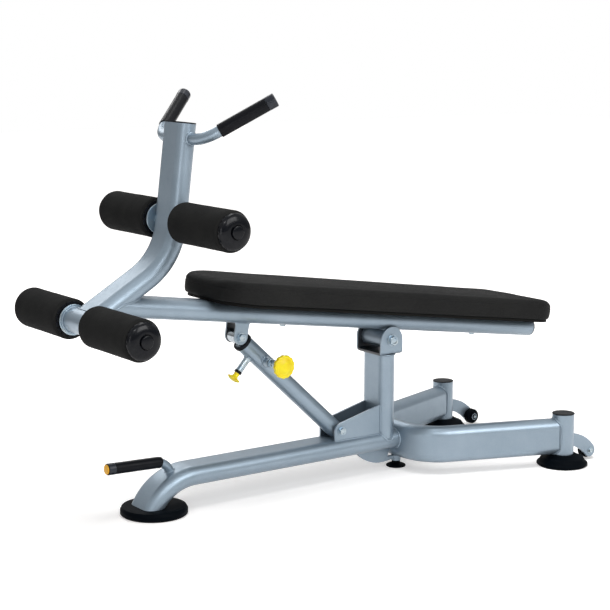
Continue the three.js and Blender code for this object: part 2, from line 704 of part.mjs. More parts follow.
function footBush() {
  const half = BRACKET.inner - 0.8;
  return plate(ring(FOOT_BUSH, 6 + GAP), -half, half, ROUND.bar / 2).translate([STRUT_LENGTH, 0, 0]);
}

// Plastic guide bush on the mouth of the outer tube, running on the inner tube.
function topCollar() {
  const { outer, wall, inner, from } = STRUT;
  const bore = inner + GAP;
  const lip = outer - wall - GAP;
  const flange = [[bore, -9], [outer + 2.5, -9], [outer + 2.5, -GAP]];
  const plug = [[lip, -GAP], [lip, 18], [bore, 18], [bore, -9]];
  return along(turned([...flange, ...plug])).translate([from, 0, 0]);
}

// Inner tube with its eye. A keyway along its underside guides the pop-pin's nose between
// the drilled settings; the eye's bore is oversize, so that the strut can follow the bench.
function innerTube() {
  const { inner: r, innerWall } = STRUT;
  const { from, to, keyway: width, depth, settings, pitch } = INNER;
  const tube = along(slab(ring(r, r - innerWall), from, to, ROUND.tube / 2));
  const half = CLEVIS.inner - 1;
  const eye = across(cylinder(17.5, -half, half, ROUND.tube));
  const neck = box(4, from + 14, -11, 11, -r + 3.5, r - 3.5);
  const lid = along(cylinder(r, from - 3, from + 1));
  const keyway = box(PIN.at - 14, to + 1, -width / 2, width / 2, -r - 1, -r + depth);
  const hole = down(cylinder(PIN.radius + 0.4, 0, 30, ROUND.shank));
  const holes = [];
  for (let i = 0; i < settings; i += 1) holes.push(hole.translate([PIN.at + i * pitch, 0, 0]));
  const bore = across(cylinder(INNER.eyeBore, -half - 1, half + 1, ROUND.grip));
  return cut(join(tube, eye, neck, lid), keyway, bore, ...holes);
}

const overTube = along(cylinder(STRUT.outer + GAP, 0, 200));

function pinHousing() {
  const r = PIN.housing;
  const bore = PIN.radius + GAP;
  const profile = [[bore, 16], [r + 3, 16], [r + 3, 26], [r, 31], [r, 62], [bore, 62], [bore, 16]];
  return cut(down(turned(profile, ROUND.bar)).translate([PIN.at, 0, 0]), overTube);
}

function pinBush() {
  const bore = PIN.radius + GAP;
  const r = PIN.housing + 1.2;
  const z = 62 + GAP;
  const profile = [[bore, z], [r, z], [r, z + 5.5], [bore, z + 5.5], [bore, z]];
  return down(turned(profile, ROUND.bar)).translate([PIN.at, 0, 0]);
}

function popPin() {
  const r = PIN.radius;
  const profile = [[0, PIN_NOSE], [r - 1.5, PIN_NOSE], [r, PIN_NOSE + 2], [r, 82], [0, 82]];
  return down(turned(profile, ROUND.shank)).translate([PIN.at, 0, 0]);
}

// Mushroom pull knob pressed over the end of the pin.
function pullKnob() {
  const bore = PIN.radius + GAP;
  const neck = [[bore, 69], [7.5, 69], [7, 75], [9.5, 80], [17.5, 84]];
  const cap = [[17.5, 86], [10, 89.5], [0, 90.5]];
  const inside = [[0, 82 + GAP], [bore, 82 + GAP], [bore, 69]];
  return down(turned([...neck, ...cap, ...inside], ROUND.bar)).translate([PIN.at, 0, 0]);
}

function clampBoss() {
  const bore = 6 + GAP;
  const r = CLAMP.boss;
  const profile = [[bore, 14], [r, 14], [r, 40], [r - 2, 42], [bore, 42], [bore, 14]];
  return cut(across(turned(profile, ROUND.bar), -1).translate([CLAMP.at, 0, 0]), overTube);
}

// Clamp screw with its lock nut; the point stops just short of the inner tube.
function clampScrew() {
  const nose = STRUT.inner + 0.5;
  const screw = turned([[0, nose], [4, nose], [6, nose + 2], [6, 98], [0, 98]], ROUND.shank);
  const washer = cylinder(11.5, 44, 46.5, ROUND.bar);
  const nut = cylinder(10.5, 46, 53, 6);
  return across(join(screw, washer, nut), -1).translate([CLAMP.at, 0, 0]);
}

// Lobed hand knob with a domed face and a conical hub.
function clampKnob() {
  const { knob: r, lobes } = CLAMP;
  const depth = 1.3; // how far the scallops are cut
  const shape = new THREE.Shape();
  const count = lobes * 4;
  for (let i = 0; i < count; i += 1) {
    const angle = (i / count) * 2 * Math.PI;
    const reach = r - 2 - depth + depth * Math.cos(angle * lobes);
    const point = [reach * Math.cos(angle), reach * Math.sin(angle)];
    if (i === 0) shape.moveTo(...point);
    else shape.lineTo(...point);
  }
  const options = { depth: 10, bevelThickness: 2.5, bevelSize: 2, bevelSegments: 1 };
  const head = solid(new THREE.ExtrudeGeometry(shape, options).translate(0, 0, 92.5));
  const dome = turned([[0, 100], [r - 7, 100], [r - 8, 107], [r - 16, 110.5], [0, 112]], ROUND.bar);
  const hub = turned([[0, 58], [12, 58], [14, 62], [18, 92], [0, 92]], ROUND.bar);
  const bore = cylinder(6 + GAP, 50, 98 + GAP, ROUND.shank);
  return across(cut(join(head, dome, hub), bore), -1).translate([CLAMP.at, 0, 0]);
}

// ---------- assembly ----------
add(bench, "front_foot_pad", frontFoot(), rubber());
add(bench, "spine_tube", spine(), paint());
add(bench, "carry_handle_tube", carryTube(), paint());
add(bench, "carry_handle_grip", carryGrip(), rubber());
add(bench, "carry_handle_plug", carryPlug(), yellow());
add(bench, "rear_leg_tube", rearLegs(), paint());
add(bench, "upright_post", uprightPost(), paint());
add(bench, "pivot_yoke", yoke(), paint());
add(bench, "leveller_gusset", levellerGusset(), paint());
add(bench, "levelling_foot", levellingFoot(), rubber());
add(bench, "pivot_bolt", hexBolt(8, YOKE.inner + YOKE.plate, PIVOT.x, PIVOT.z), zinc());
add(bench, "strut_foot_bolt", hexBolt(6, BRACKET.inner + BRACKET.plate, STRUT_FOOT.x, STRUT_FOOT.z), zinc());

for (const side of SIDES) {
  const beside = (body) => body.translate([POST.x, side.y * POST.y, 0]);
  add(bench, `rear_post_${side.name}`, beside(rearPost()), paint());
  add(bench, `rear_post_cap_${side.name}`, beside(postCap()), black());
  add(bench, `rear_foot_${side.name}`, beside(rearFoot()), rubber());
  add(bench, `wheel_arm_${side.name}`, onSide(wheelArm(), side), paint());
  add(bench, `transport_wheel_${side.name}`, onSide(wheel(), side), rubber());
  add(bench, `strut_bracket_${side.name}`, onSide(strutBracket(), side), paint());
  add(bench, `top_handle_${side.name}`, onSide(topHandle(), side), paint());
  add(bench, `top_grip_${side.name}`, onSide(topGrip(), side), rubber());
  for (const [level, axis] of [["upper", UPPER_ROLLER], ["lower", LOWER_ROLLER]]) {
    add(bench, `${level}_roller_foam_${side.name}`, onSide(foamSleeve(axis), side), foam());
    add(bench, `${level}_roller_core_${side.name}`, onSide(rollerCore(axis), side), black());
  }
}

add(bench, "column_tube", column(), paint());
add(bench, "column_cap", columnCap(), black());
add(bench, "upper_roller_axle", rollerAxle(UPPER_ROLLER, AXLE_RADIUS), paint());
add(bench, "lower_roller_axle", rollerAxle(LOWER_ROLLER, CROSS_TUBE_RADIUS), paint());

add(tilted, "seat_rail", seatRail(), paint());
add(tilted, "seat_rail_cap", railCap(), black());
add(tilted, "pivot_barrel", pivotBarrel(), paint());
add(tilted, "pad_bolt_front", padBolt(PAD_BOLTS.front), zinc());
add(tilted, "pad_bolt_rear", padBolt(PAD_BOLTS.rear), zinc());
add(tilted, "pad_board", padBoard(), board());
add(tilted, "bench_pad", pad(), vinyl());
add(tilted, "strut_clevis", clevis(), paint());
add(tilted, "clevis_pin", hexBolt(6, CLEVIS.inner + CLEVIS.plate, clevisAt.x, clevisAt.z), zinc());

add(strut, "strut_outer_tube", outerTube(), paint());
add(strut, "strut_collar", topCollar(), black());
add(strut, "strut_foot_bush", footBush(), zinc());
add(strut, "strut_inner_tube", innerTube(), chrome());
add(strut, "pop_pin_housing", pinHousing(), zinc());
add(strut, "pop_pin_bush", pinBush(), black());
add(strut, "pop_pin", popPin(), zinc());
add(strut, "pop_pin_knob", pullKnob(), yellow());
add(strut, "clamp_boss", clampBoss(), paint());
add(strut, "clamp_screw", clampScrew(), zinc());
add(strut, "clamp_knob", clampKnob(), yellow());

export default bench;
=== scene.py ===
import json
import math
from types import SimpleNamespace as Sizes

import bmesh
import bpy
import numpy as np
from mathutils import Matrix, Vector, noise
from mathutils.bvhtree import BVHTree
from mathutils.kdtree import KDTree


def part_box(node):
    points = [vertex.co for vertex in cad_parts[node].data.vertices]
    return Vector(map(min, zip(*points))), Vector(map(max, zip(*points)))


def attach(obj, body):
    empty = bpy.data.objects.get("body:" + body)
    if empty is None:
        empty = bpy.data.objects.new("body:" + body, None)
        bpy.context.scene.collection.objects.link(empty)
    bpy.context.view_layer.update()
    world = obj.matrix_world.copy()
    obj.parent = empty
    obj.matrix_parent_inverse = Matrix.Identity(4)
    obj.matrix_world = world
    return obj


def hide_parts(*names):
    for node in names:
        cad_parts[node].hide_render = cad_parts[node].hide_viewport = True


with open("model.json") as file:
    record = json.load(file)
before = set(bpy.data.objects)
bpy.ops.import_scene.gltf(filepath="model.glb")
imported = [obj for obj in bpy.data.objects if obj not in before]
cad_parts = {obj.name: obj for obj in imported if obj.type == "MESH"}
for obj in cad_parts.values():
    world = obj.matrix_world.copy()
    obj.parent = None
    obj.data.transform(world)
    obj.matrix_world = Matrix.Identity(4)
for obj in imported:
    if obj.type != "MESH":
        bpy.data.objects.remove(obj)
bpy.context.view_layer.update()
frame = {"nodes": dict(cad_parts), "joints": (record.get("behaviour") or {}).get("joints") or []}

# ---------- the part's own frames ----------
# Shapes are drawn in millimetres. Those on the bench count their length from the front foot,
# those on the tilting rail from its pivot, and those on the strut from its clevis pin.
MM = 0.001
JOINTS = {joint["name"]: Vector(joint.get("pos_m", (0, 0, 0))) for joint in frame["joints"]}


def shift(x=0.0, y=0.0, z=0.0):
    return Matrix.Translation((x, y, z))


def facing(axis, origin=(0, 0, 0)):
    """A frame at origin whose Z runs along axis."""
    return shift(*origin) @ Vector(axis).to_track_quat("Z", "Y").to_matrix().to_4x4()


def frame_at(origin, slope=0.0):
    return shift(*origin) @ Matrix.Rotation(slope, 4, "Y") @ Matrix.Scale(MM, 4)


def middle(node):
    low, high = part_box(node)
    return (low + high) / 2


def on_floor(point):
    """A point of the frame, in the millimetres of ON_FLOOR."""
    return ON_FLOOR.inverted() @ point


TILT = math.radians(8.02)  # slope of the rail at its lowest setting
STRUT_TOP = middle("clevis_pin")
STRUT_FOOT = JOINTS["strut_swing"]
STRUT_LINE = STRUT_FOOT - STRUT_TOP
STRUT_SLOPE = math.atan2(-STRUT_LINE.z, STRUT_LINE.x)
ON_FLOOR = frame_at((middle("front_foot_pad").x, 0, 0))
ON_RAIL = frame_at(JOINTS["bench_tilt"], TILT)
ON_STRUT = frame_at(STRUT_TOP, STRUT_SLOPE)
DOWN = Matrix.Rotation(math.pi, 4, "X")  # turns a form drawn upwards to hang down
SIDES = {"left": -1, "right": 1}

# ---------- driving sizes, as the frame has them ----------
TUBE = Sizes(width=100, depth=50)
SPINE = Sizes(z=87, bend_x=100, radius=138.6, angle=68, foot_top=22.3)
LEG = Sizes(z=82, apex_x=764, radius=100, corner_y=118)
POST = Sizes(x=1150, y=253, radius=30, bottom=32, top=144)
UPRIGHT = Sizes(x=704, top=325.7)
LOWER_ROLLER = Vector((-183, 0, 497))
UPPER_ROLLER = Vector((57.6, 0, 724))
COLUMN = Sizes(corner=Vector((46.7, 0, 632.2)), top=Vector((87, 0, 957)), radius=170)
RAIL = Sizes(z=50.5, front=-870, rear=520)
RAIL_UNDER = RAIL.z - TUBE.depth / 2
HANDLE = Sizes(start=Vector((119, -125, 943)), grip=Vector((0.695, -0.525, 0.491)).normalized(),
               corner=44, radius=72, root_y=-44, tube=14, sleeve=17, length=147, band=18)
CARRY = Sizes(start=Vector((-129, 0, 132.1)), slope=math.radians(1.8), straight=134,
              bend=62, radius=42, reach=30, tube=11, sleeve=14.2)
CARRY_HEADING = Vector((math.cos(CARRY.slope), 0, -math.sin(CARRY.slope)))
CARRY_SIDE = Vector((math.sin(CARRY.slope), 0, math.cos(CARRY.slope)))
ROLLER = Sizes(inner=58, outer=276, radius=50, core=21, dome=44)
STRUT = Sizes(outer=23, inner=19, mouth=30, pin=67, clamp=105)
PAD = Sizes(front=-580, rear=543, front_half=150, rear_half=138, corner=90, bottom=83.8, thick=57)
PAD_BOLTS = {"front": -323.7, "rear": 329.7}
WHEEL_ARM = Sizes(face=258, axle_end=228)
LEVELLER_X = 766


# ---------- shader maths ----------
class Shade:
    """One socket of a node tree, so that arithmetic on it adds the nodes."""

    def __init__(self, nodes, socket):
        self.nodes = nodes
        self.socket = socket

    def __add__(self, other):
        return self.nodes.math("ADD", self, other)

    def __sub__(self, other):
        return self.nodes.math("SUBTRACT", self, other)

    def __rsub__(self, other):
        return self.nodes.math("SUBTRACT", other, self)

    def __mul__(self, other):
        return self.nodes.math("MULTIPLY", self, other)

    __radd__ = __add__
    __rmul__ = __mul__


class Nodes:
    """A node tree, written as expressions."""

    def __init__(self, tree):
        self.tree = tree

    def node(self, kind, settings=None, inputs=None, output=0):
        """Adds a node: its settings first, then the values or links of its sockets."""
        made = self.tree.nodes.new(kind)
        for name, value in (settings or {}).items():
            setattr(made, name, value)
        for socket, value in (inputs or {}).items():
            self.feed(made.inputs[socket], value)
        return Shade(self, made.outputs[output])

    def feed(self, socket, value):
        if isinstance(value, Shade):
            self.tree.links.new(value.socket, socket)
        else:
            socket.default_value = value

    def math(self, operation, first, second):
        return self.node("ShaderNodeMath", {"operation": operation}, {0: first, 1: second})

    def vector(self, operation, *values, output=0):
        return self.node("ShaderNodeVectorMath", {"operation": operation}, dict(enumerate(values)), output)

    def axis(self, place, name):
        return self.node("ShaderNodeSeparateXYZ", inputs={0: place}, output=name)

    def ray(self, kind):
        return self.node("ShaderNodeLightPath", output=f"Is {kind} Ray")

    def spread(self, value, low, high, to_low=0.0, to_high=1.0):
        """A value between low and high, as one between to_low and to_high, and no further."""
        limits = {"From Min": low, "From Max": high, "To Min": to_low, "To Max": to_high}
        return self.node("ShaderNodeMapRange", inputs={"Value": value, **limits})

    def mix(self, factor, first, second):
        return self.node("ShaderNodeMix", {"data_type": "RGBA"}, {0: factor, 6: first, 7: second}, 2)


class Finish(Nodes):
    """A material, its place the object's own."""

    def __init__(self, name, **constants):
        self.material = bpy.data.materials.new(name)
        self.material.use_nodes = True
        super().__init__(self.material.node_tree)
        self.shader = self.tree.nodes["Principled BSDF"]
        self.place = self.node("ShaderNodeTexCoord", output="Object")
        self.set(**constants)

    def set(self, **sockets):
        """Feeds the shader's sockets, named in plain words, and returns the material."""
        for words, value in sockets.items():
            label = words.replace("_", " ").title().replace("Ior", "IOR")
            self.feed(self.shader.inputs[label], value)
        return self.material

    def noise(self, scale, detail=3.0, roughness=0.5, distortion=0.0, place=None):
        inputs = {"Vector": place or self.place, "Scale": scale, "Detail": detail}
        inputs.update({"Roughness": roughness, "Distortion": distortion})
        return self.node("ShaderNodeTexNoise", inputs=inputs)

    def cells(self, scale, feature="F1", output="Distance", place=None):
        inputs = {"Vector": place or self.place, "Scale": scale}
        return self.node("ShaderNodeTexVoronoi", {"feature": feature}, inputs, output)

    def stretched(self, along, squeeze):
        """The place, scaled along each axis, for grain that runs one way."""
        inputs = {"Vector": self.place, "Angle": along}
        turned_place = self.node("ShaderNodeVectorRotate", {"rotation_type": "Y_AXIS"}, inputs)
        return self.vector("MULTIPLY", turned_place, squeeze)

    def bump(self, height, depth, strength, under=None):
        inputs = {"Height": height, "Distance": depth, "Strength": strength}
        if under:
            inputs["Normal"] = under
        return self.node("ShaderNodeBump", inputs=inputs)


def colour(red, green, blue):
    """A colour given as it shows, 0 to 255 a channel."""
    shares = [value / 255 for value in (red, green, blue)]
    linear = [s / 12.92 if s <= 0.04045 else ((s + 0.055) / 1.055) ** 2.4 for s in shares]
    return (*linear, 1.0)


def grey(value):
    return colour(value, value, value)


# ---------- finishes ----------
def silver_paint(name="silver_paint", inner=None, shade_colour=colour(34, 38, 43), shade_darkening=0.0):
    """Metallic blue-grey powder coat: flakes, a light orange peel and faint clouding.
    Between cheeks, closer to the middle than inner, the coat is painted dark and without its metal: painted
    shade.
    The whole coat can be darkened too, as painted shade on a part that sits in shade."""
    f = Finish(name, coat_roughness=0.3, coat_ior=1.45)
    flakes = f.cells(1500, output="Color")
    clouds = f.noise(9, 4, 0.55)
    peel = f.noise(330, 2, 0.4)
    handling = f.noise(38, 5, 0.62, 0.4)
    base = f.mix(f.spread(clouds, 0.35, 0.65), colour(124, 140, 153), colour(133, 148, 161))
    glint = f.mix(flakes * 0.3, base, colour(170, 184, 196))
    # Painted shade: the whole coat darkened toward a dark blue-grey.
    if shade_darkening:
        glint = f.mix(shade_darkening, glint, colour(52, 59, 66))
    unshaded = 1.0
    # Painted shade: between the cheeks, near the middle, the coat turns dark and loses its metal.
    if inner:
        off_middle = f.math("ABSOLUTE", f.axis(f.place, "Y"), 0.0) + (handling - 0.5) * 0.004
        unshaded = f.spread(off_middle, inner + 0.0006, inner + 0.0026)
        glint = f.mix(unshaded, shade_colour, glint)
    return f.set(
        base_color=glint,
        metallic=(0.62 + flakes * 0.18) * unshaded,
        roughness=0.37 + flakes * 0.07 + f.spread(handling, 0.5, 0.8, 0.0, 0.07),
        coat_weight=f.spread(handling, 0.4, 0.75, 0.3, 0.16),
        normal=f.bump(peel, 0.00006, 0.5, f.bump(flakes, 0.00001, 0.25)),
    )


def moulded_rubber():
    """Black rubber from a sparked mould, a little dusty."""
    f = Finish("moulded_rubber", specular_ior_level=0.03)
    grain = f.noise(900, 3, 0.6)
    dust = f.noise(22, 6, 0.65, 0.6)
    bloom = f.spread(dust, 0.52, 0.8, 0.0, 0.5)
    return f.set(
        base_color=f.mix(bloom, colour(4, 8, 13), colour(13, 17, 23)),
        roughness=0.5 + bloom * 0.3 + grain * 0.08,
        normal=f.bump(grain, 0.00012, 0.5, f.bump(dust, 0.0006, 0.12)),
    )


def grip_rubber():
    """Dense black sleeve with a fine pebble texture."""
    f = Finish("grip_rubber", specular_ior_level=0.12)
    polish = f.spread(f.noise(45, 5, 0.6, 0.3), 0.45, 0.75)
    return f.set(
        base_color=f.mix(polish, colour(8, 10, 15), colour(15, 17, 23)),
        roughness=0.38 - polish * 0.1,
        normal=f.bump(f.cells(1100, "SMOOTH_F1"), 0.0001, 0.4),
    )


def gloss_plastic():
    """Glossy black moulding with faint flow marks and handling haze."""
    f = Finish("gloss_plastic", specular_ior_level=0.12, coat_roughness=0.06)
    haze = f.noise(60, 6, 0.62, 0.5)
    flow = f.noise(14, 3, 0.5, 1.6)
    return f.set(
        base_color=f.mix(flow * 0.6, colour(5, 7, 11), colour(13, 16, 24)),
        roughness=f.spread(haze, 0.4, 0.8, 0.2, 0.34),
        coat_weight=f.spread(haze, 0.35, 0.7, 0.16, 0.06),
        normal=f.bump(f.cells(2400), 0.00002, 0.2, f.bump(flow, 0.0004, 0.06)),
    )


def satin_plastic(name="satin_plastic", shine=0.12, scale=50, worn=(0.45, 0.8), fresh=colour(11, 13, 18),
                  handled=colour(22, 24, 30), rough=(0.36, 0.5), depth=0.00008, strength=0.5):
    """Black plastic with a fine sparked grain, paler and rougher where hands have worn it."""
    f = Finish(name, specular_ior_level=shine)
    wear = f.noise(scale, 5, 0.6, 0.4)
    return f.set(
        base_color=f.mix(f.spread(wear, *worn), fresh, handled),
        roughness=f.spread(wear, 0.4, 0.8, *rough),
        normal=f.bump(f.noise(1500, 2), depth, strength),
    )


def yellow_plastic(name="yellow_plastic", thin=colour(240, 221, 12), thick=colour(236, 207, 8)):
    """Yellow nylon, its colour slightly deeper in random patches, with a fine moulded grain."""
    f = Finish(name, specular_ior_level=0.45, subsurface_weight=0.06)
    wear = f.noise(110, 5, 0.65)
    rich = f.mix(f.spread(f.noise(60), 0.35, 0.7), thin, thick)
    return f.set(
        base_color=f.mix(f.spread(wear, 0.62, 0.8, 0.0, 0.35), rich, colour(214, 172, 16)),
        roughness=0.34 + wear * 0.16,
        normal=f.bump(f.noise(1300, 2), 0.00006, 0.4),
    )


def roller_foam():
    """Closed-cell foam: a matte skin with fine pores and soft unevenness."""
    f = Finish("roller_foam", specular_ior_level=0.04, sheen_weight=0.015, sheen_roughness=0.6)
    skin_grain = f.noise(420, 5, 0.65)
    pits = f.spread(f.cells(950), 0.12, 0.42)
    light = f.mix(f.spread(f.noise(16, 4, 0.55), 0.35, 0.7), grey(33), colour(40, 40, 39))
    return f.set(
        # Painted shade: the pores are darker than the skin around them.
        base_color=f.mix(pits, grey(22), light),
        roughness=0.84 + skin_grain * 0.12,
        normal=f.bump(pits, 0.00022, 0.45, f.bump(skin_grain, 0.0003, 0.35)),
    )


def pad_vinyl():
    """Black upholstery vinyl: a pebbled leather grain with creases between the pebbles."""
    f = Finish("pad_vinyl", specular_ior_level=0.022)
    wander = f.noise(260)
    drift = f.node("ShaderNodeTexNoise", inputs={"Vector": f.place, "Scale": 180}, output="Color")
    moved = f.vector("MULTIPLY_ADD", drift, (0.0012, 0.0012, 0.0012), f.place)
    crease = f.spread(f.cells(620, "DISTANCE_TO_EDGE", place=moved), 0.02, 0.16)
    worn = f.spread(f.noise(7, 4, 0.6), 0.42, 0.72)
    return f.set(
        # Painted shade: darker in the creases between the pebbles.
        base_color=f.mix(crease, grey(27), f.mix(worn, grey(42), colour(47, 47, 46))),
        roughness=0.50 + (1 - crease) * 0.12 - worn * 0.05 + wander * 0.05,
        normal=f.bump(crease, 0.00014, 0.55, f.bump(wander, 0.00018, 0.35)),
    )


def black_board():
    """Painted plywood, its grain just showing through."""
    f = Finish("black_board", specular_ior_level=0.08)
    grain = f.noise(60, 6, 0.7, 0.8, f.stretched(0.0, (1.0, 9.0, 9.0)))
    return f.set(
        base_color=f.mix(grain, grey(13), colour(24, 24, 23)),
        roughness=0.62 + grain * 0.2,
        normal=f.bump(grain, 0.0003, 0.5),
    )


def zinc_plate():
    """Bright zinc with the faint yellow and blue of its passivation."""
    f = Finish("zinc_plate")
    drift = f.noise(70)
    scuffs = f.noise(300, 5, 0.7, 0.5)
    tint = f.mix(f.spread(drift, 0.35, 0.65), colour(148, 166, 180), colour(172, 183, 188))
    return f.set(
        base_color=f.mix(f.spread(scuffs, 0.55, 0.8, 0.0, 0.5), tint, colour(112, 121, 130)),
        metallic=0.86 + drift * 0.08,
        roughness=0.24 + scuffs * 0.16,
        normal=f.bump(scuffs, 0.00005, 0.5),
    )


def bright_tube():
    """Hard chrome with fine rubbing lines along the stroke and a film of grease."""
    f = Finish("bright_tube")
    lines = f.noise(400, 4, 0.6, 0.0, f.stretched(-STRUT_SLOPE, (0.03, 1.0, 1.0)))
    film = f.noise(55, 4, 0.6, 0.5)
    return f.set(
        base_color=f.mix(f.spread(film, 0.45, 0.75), colour(168, 176, 183), colour(150, 154, 157)),
        metallic=0.96 + film * 0.04,
        roughness=0.10 + lines * 0.14 + f.spread(film, 0.5, 0.75, 0.0, 0.1),
        normal=f.bump(lines, 0.00003, 0.5),
    )


FINISHES = {
    "frame_paint": silver_paint(),
    "black_rubber": moulded_rubber(),
    "grip_rubber": grip_rubber(),
    "black_plastic": satin_plastic(),
    "roller_foam": roller_foam(),
    "pad_vinyl": pad_vinyl(),
    "black_board": black_board(),
    "zinc_plate": zinc_plate(),
    "bright_tube": bright_tube(),
    "yellow_plastic": yellow_plastic(),
}
GLOSS = gloss_plastic()
SLATE = satin_plastic("slate_plastic", 0.35, 70, (0.4, 0.75), colour(22, 27, 36), colour(34, 40, 50),
                      (0.26, 0.4), 0.00004, 0.4)
AMBER = yellow_plastic("amber_plastic", colour(243, 178, 14), colour(236, 164, 10))
# Frame paint with painted shade between the cheeks of the brackets, the clevis and the yoke.
BRACKET = silver_paint("bracket_paint_shaded", 0.029, colour(66, 77, 87))
SHADED_PAINT = {
    "strut_clevis": silver_paint("clevis_paint_shaded", 0.0175),
    "pivot_yoke": silver_paint("yoke_paint_shaded", 0.047),
    "strut_bracket_left": BRACKET,
    "strut_bracket_right": BRACKET,
    # The pivot barrel between the yoke's cheeks: the whole coat darkened as painted shade.
    "pivot_barrel": silver_paint("barrel_paint_shaded", shade_darkening=0.4),
}


# ---------- forms ----------
class Form:
    """Corners and faces of a closed body, in millimetres."""

    def __init__(self, corners=(), faces=()):
        self.corners = [Vector(corner) for corner in corners]
        self.faces = [tuple(face) for face in faces]

    def __add__(self, other):
        start = len(self.corners)
        moved = [tuple(index + start for index in face) for face in other.faces]
        return Form(self.corners + other.corners, self.faces + moved)

    def moved(self, matrix):
        return Form([matrix @ corner for corner in self.corners], self.faces)

    def tree(self):
        return BVHTree.FromPolygons(self.corners, self.faces)


def loaded(form):
    """A bmesh of the form."""
    mesh = bmesh.new()
    corners = [mesh.verts.new(corner) for corner in form.corners]
    for face in form.faces:
        mesh.faces.new([corners[index] for index in face])
    return mesh


def unloaded(mesh):
    """The form held by a bmesh, which is then freed."""
    mesh.verts.index_update()
    form = Form([v.co for v in mesh.verts], [[v.index for v in face.verts] for face in mesh.faces])
    mesh.free()
    return form


def skin(rings, joined=False):
    """A body through rings of equal count: flat ends, or its last ring joined to its first."""
    count = len(rings[0])
    corners = [corner for ring in rings for corner in ring]
    faces = []
    for level in range(len(rings) if joined else len(rings) - 1):
        here = level * count
        above = (level + 1) % len(rings) * count
        for i in range(count):
            j = (i + 1) % count
            faces.append((here + i, here + j, above + j, above + i))
    if not joined:
        last = (len(rings) - 1) * count
        faces.append(tuple(reversed(range(count))))
        faces.append(tuple(range(last, last + count)))
    return Form(corners, faces)


def rounded(corners, closed=False, step=15):
    """A line through corners (x, y, fillet), each fillet drawn as an arc."""
    count = len(corners)
    line = []
    for i, (x, y, *fillet) in enumerate(corners):
        here = Vector((x, y))
        size = fillet[0] if fillet else 0
        if size == 0 or (not closed and i in (0, count - 1)):
            line.append(here)
            continue
        back = (Vector(corners[i - 1][:2]) - here).normalized()
        on = (Vector(corners[(i + 1) % count][:2]) - here).normalized()
        half = back.angle(on) / 2
        centre = here + (back + on).normalized() * (size / math.sin(half))
        start = here + back * (size / math.tan(half)) - centre
        end = here + on * (size / math.tan(half)) - centre
        pieces = max(2, math.ceil(math.degrees(start.angle(end)) / step))
        line += [centre + start.slerp(end, k / pieces) * size for k in range(pieces + 1)]
    return line


def turns(count):
    return [2 * math.pi * i / count for i in range(count)]


def circle(radius, count=48):
    return [Vector((radius * math.cos(a), radius * math.sin(a))) for a in turns(count)]


def arc(centre, radius, start, end, step):
    """Points round an arc, its angles in degrees."""
    pieces = max(2, math.ceil(abs(end - start) / step))
    angles = [math.radians(start + (end - start) * k / pieces) for k in range(pieces + 1)]
    return [Vector((centre[0] + radius * math.cos(a), centre[1] + radius * math.sin(a))) for a in angles]


def flat_oval(grow=0.0, step=6):
    """A frame tube's outline, its x across the bench."""
    radius = TUBE.depth / 2 + grow
    reach = TUBE.width / 2 + grow - radius
    return arc((reach, 0), radius, -90, 90, step) + arc((-reach, 0), radius, 90, 270, step)


def turned(profile, count=72, shape=None):
    """Revolves (radius, height) points about Z. shape(radius, height, angle) may vary the radius."""
    rings = []
    for radius, height in profile:
        reach = [shape(radius, height, angle) if shape else radius for angle in turns(count)]
        rings.append([(r * math.cos(a), r * math.sin(a), height) for r, a in zip(reach, turns(count))])
    if profile[0] == profile[-1]:
        return skin(rings[:-1], joined=True)
    mesh = loaded(skin(rings))
    bmesh.ops.remove_doubles(mesh, verts=mesh.verts, dist=0.001)
    flat = [face for face in mesh.faces if face.calc_area() < 1e-7]
    bmesh.ops.delete(mesh, geom=flat, context="FACES_ONLY")
    return unloaded(mesh)


def lathe(outline, count=72, shape=None):
    """Revolves (radius, height, fillet) corners, closing the outline where it leaves a bore."""
    hollow = outline[0][0] > 0
    line = rounded(outline, closed=hollow)
    return turned(line + line[:1] if hollow else line, count, shape)


def both_halves(lower):
    """The outline whose lower half this is, and whose upper half mirrors it."""
    return lower + [(radius, -height, *fillet) for radius, height, *fillet in reversed(lower)]


def mirrored(form):
    return form.moved(Matrix.Scale(-1, 4, (0, 1, 0)))


def sliced(form, point, normal):
    """The part of a body behind a plane, closed where it is cut."""
    mesh = loaded(form)
    everything = mesh.verts[:] + mesh.edges[:] + mesh.faces[:]
    cut = bmesh.ops.bisect_plane(mesh, geom=everything, plane_co=point, plane_no=normal, clear_outer=True)
    edges = [e for e in cut["geom_cut"] if isinstance(e, bmesh.types.BMEdge)]
    bmesh.ops.edgenet_fill(mesh, edges=edges)
    return unloaded(mesh)


def hexagon_head(across_flats, height, dished=True):
    """A hexagon nut or bolt head on Z = 0, its top corners turned down and its face dished."""
    apothem = across_flats / 2

    def hexed(radius, _, angle):
        wrapped = (angle + math.pi / 6) % (math.pi / 3) - math.pi / 6
        return min(radius, apothem / math.cos(wrapped))

    sides = [(0, 0), (apothem * 1.155, 0), (apothem * 1.155, height - 1.4)]
    floor = height - 0.09 * across_flats
    dish = [(apothem * 0.95, height), (apothem * 0.66, height), (apothem * 0.52, floor), (0, floor)]
    return lathe(sides + (dish if dished else [(0, height)]), 72, hexed)


def headed(radius, bore, thick, across_flats, height):
    """A washer with a nut or a bolt head on it, on Z = 0."""
    washer = lathe([(bore, 0), (radius, 0, 0.4), (radius, thick, 0.6), (bore, thick)], 48)
    return washer + hexagon_head(across_flats, height).moved(shift(z=thick))


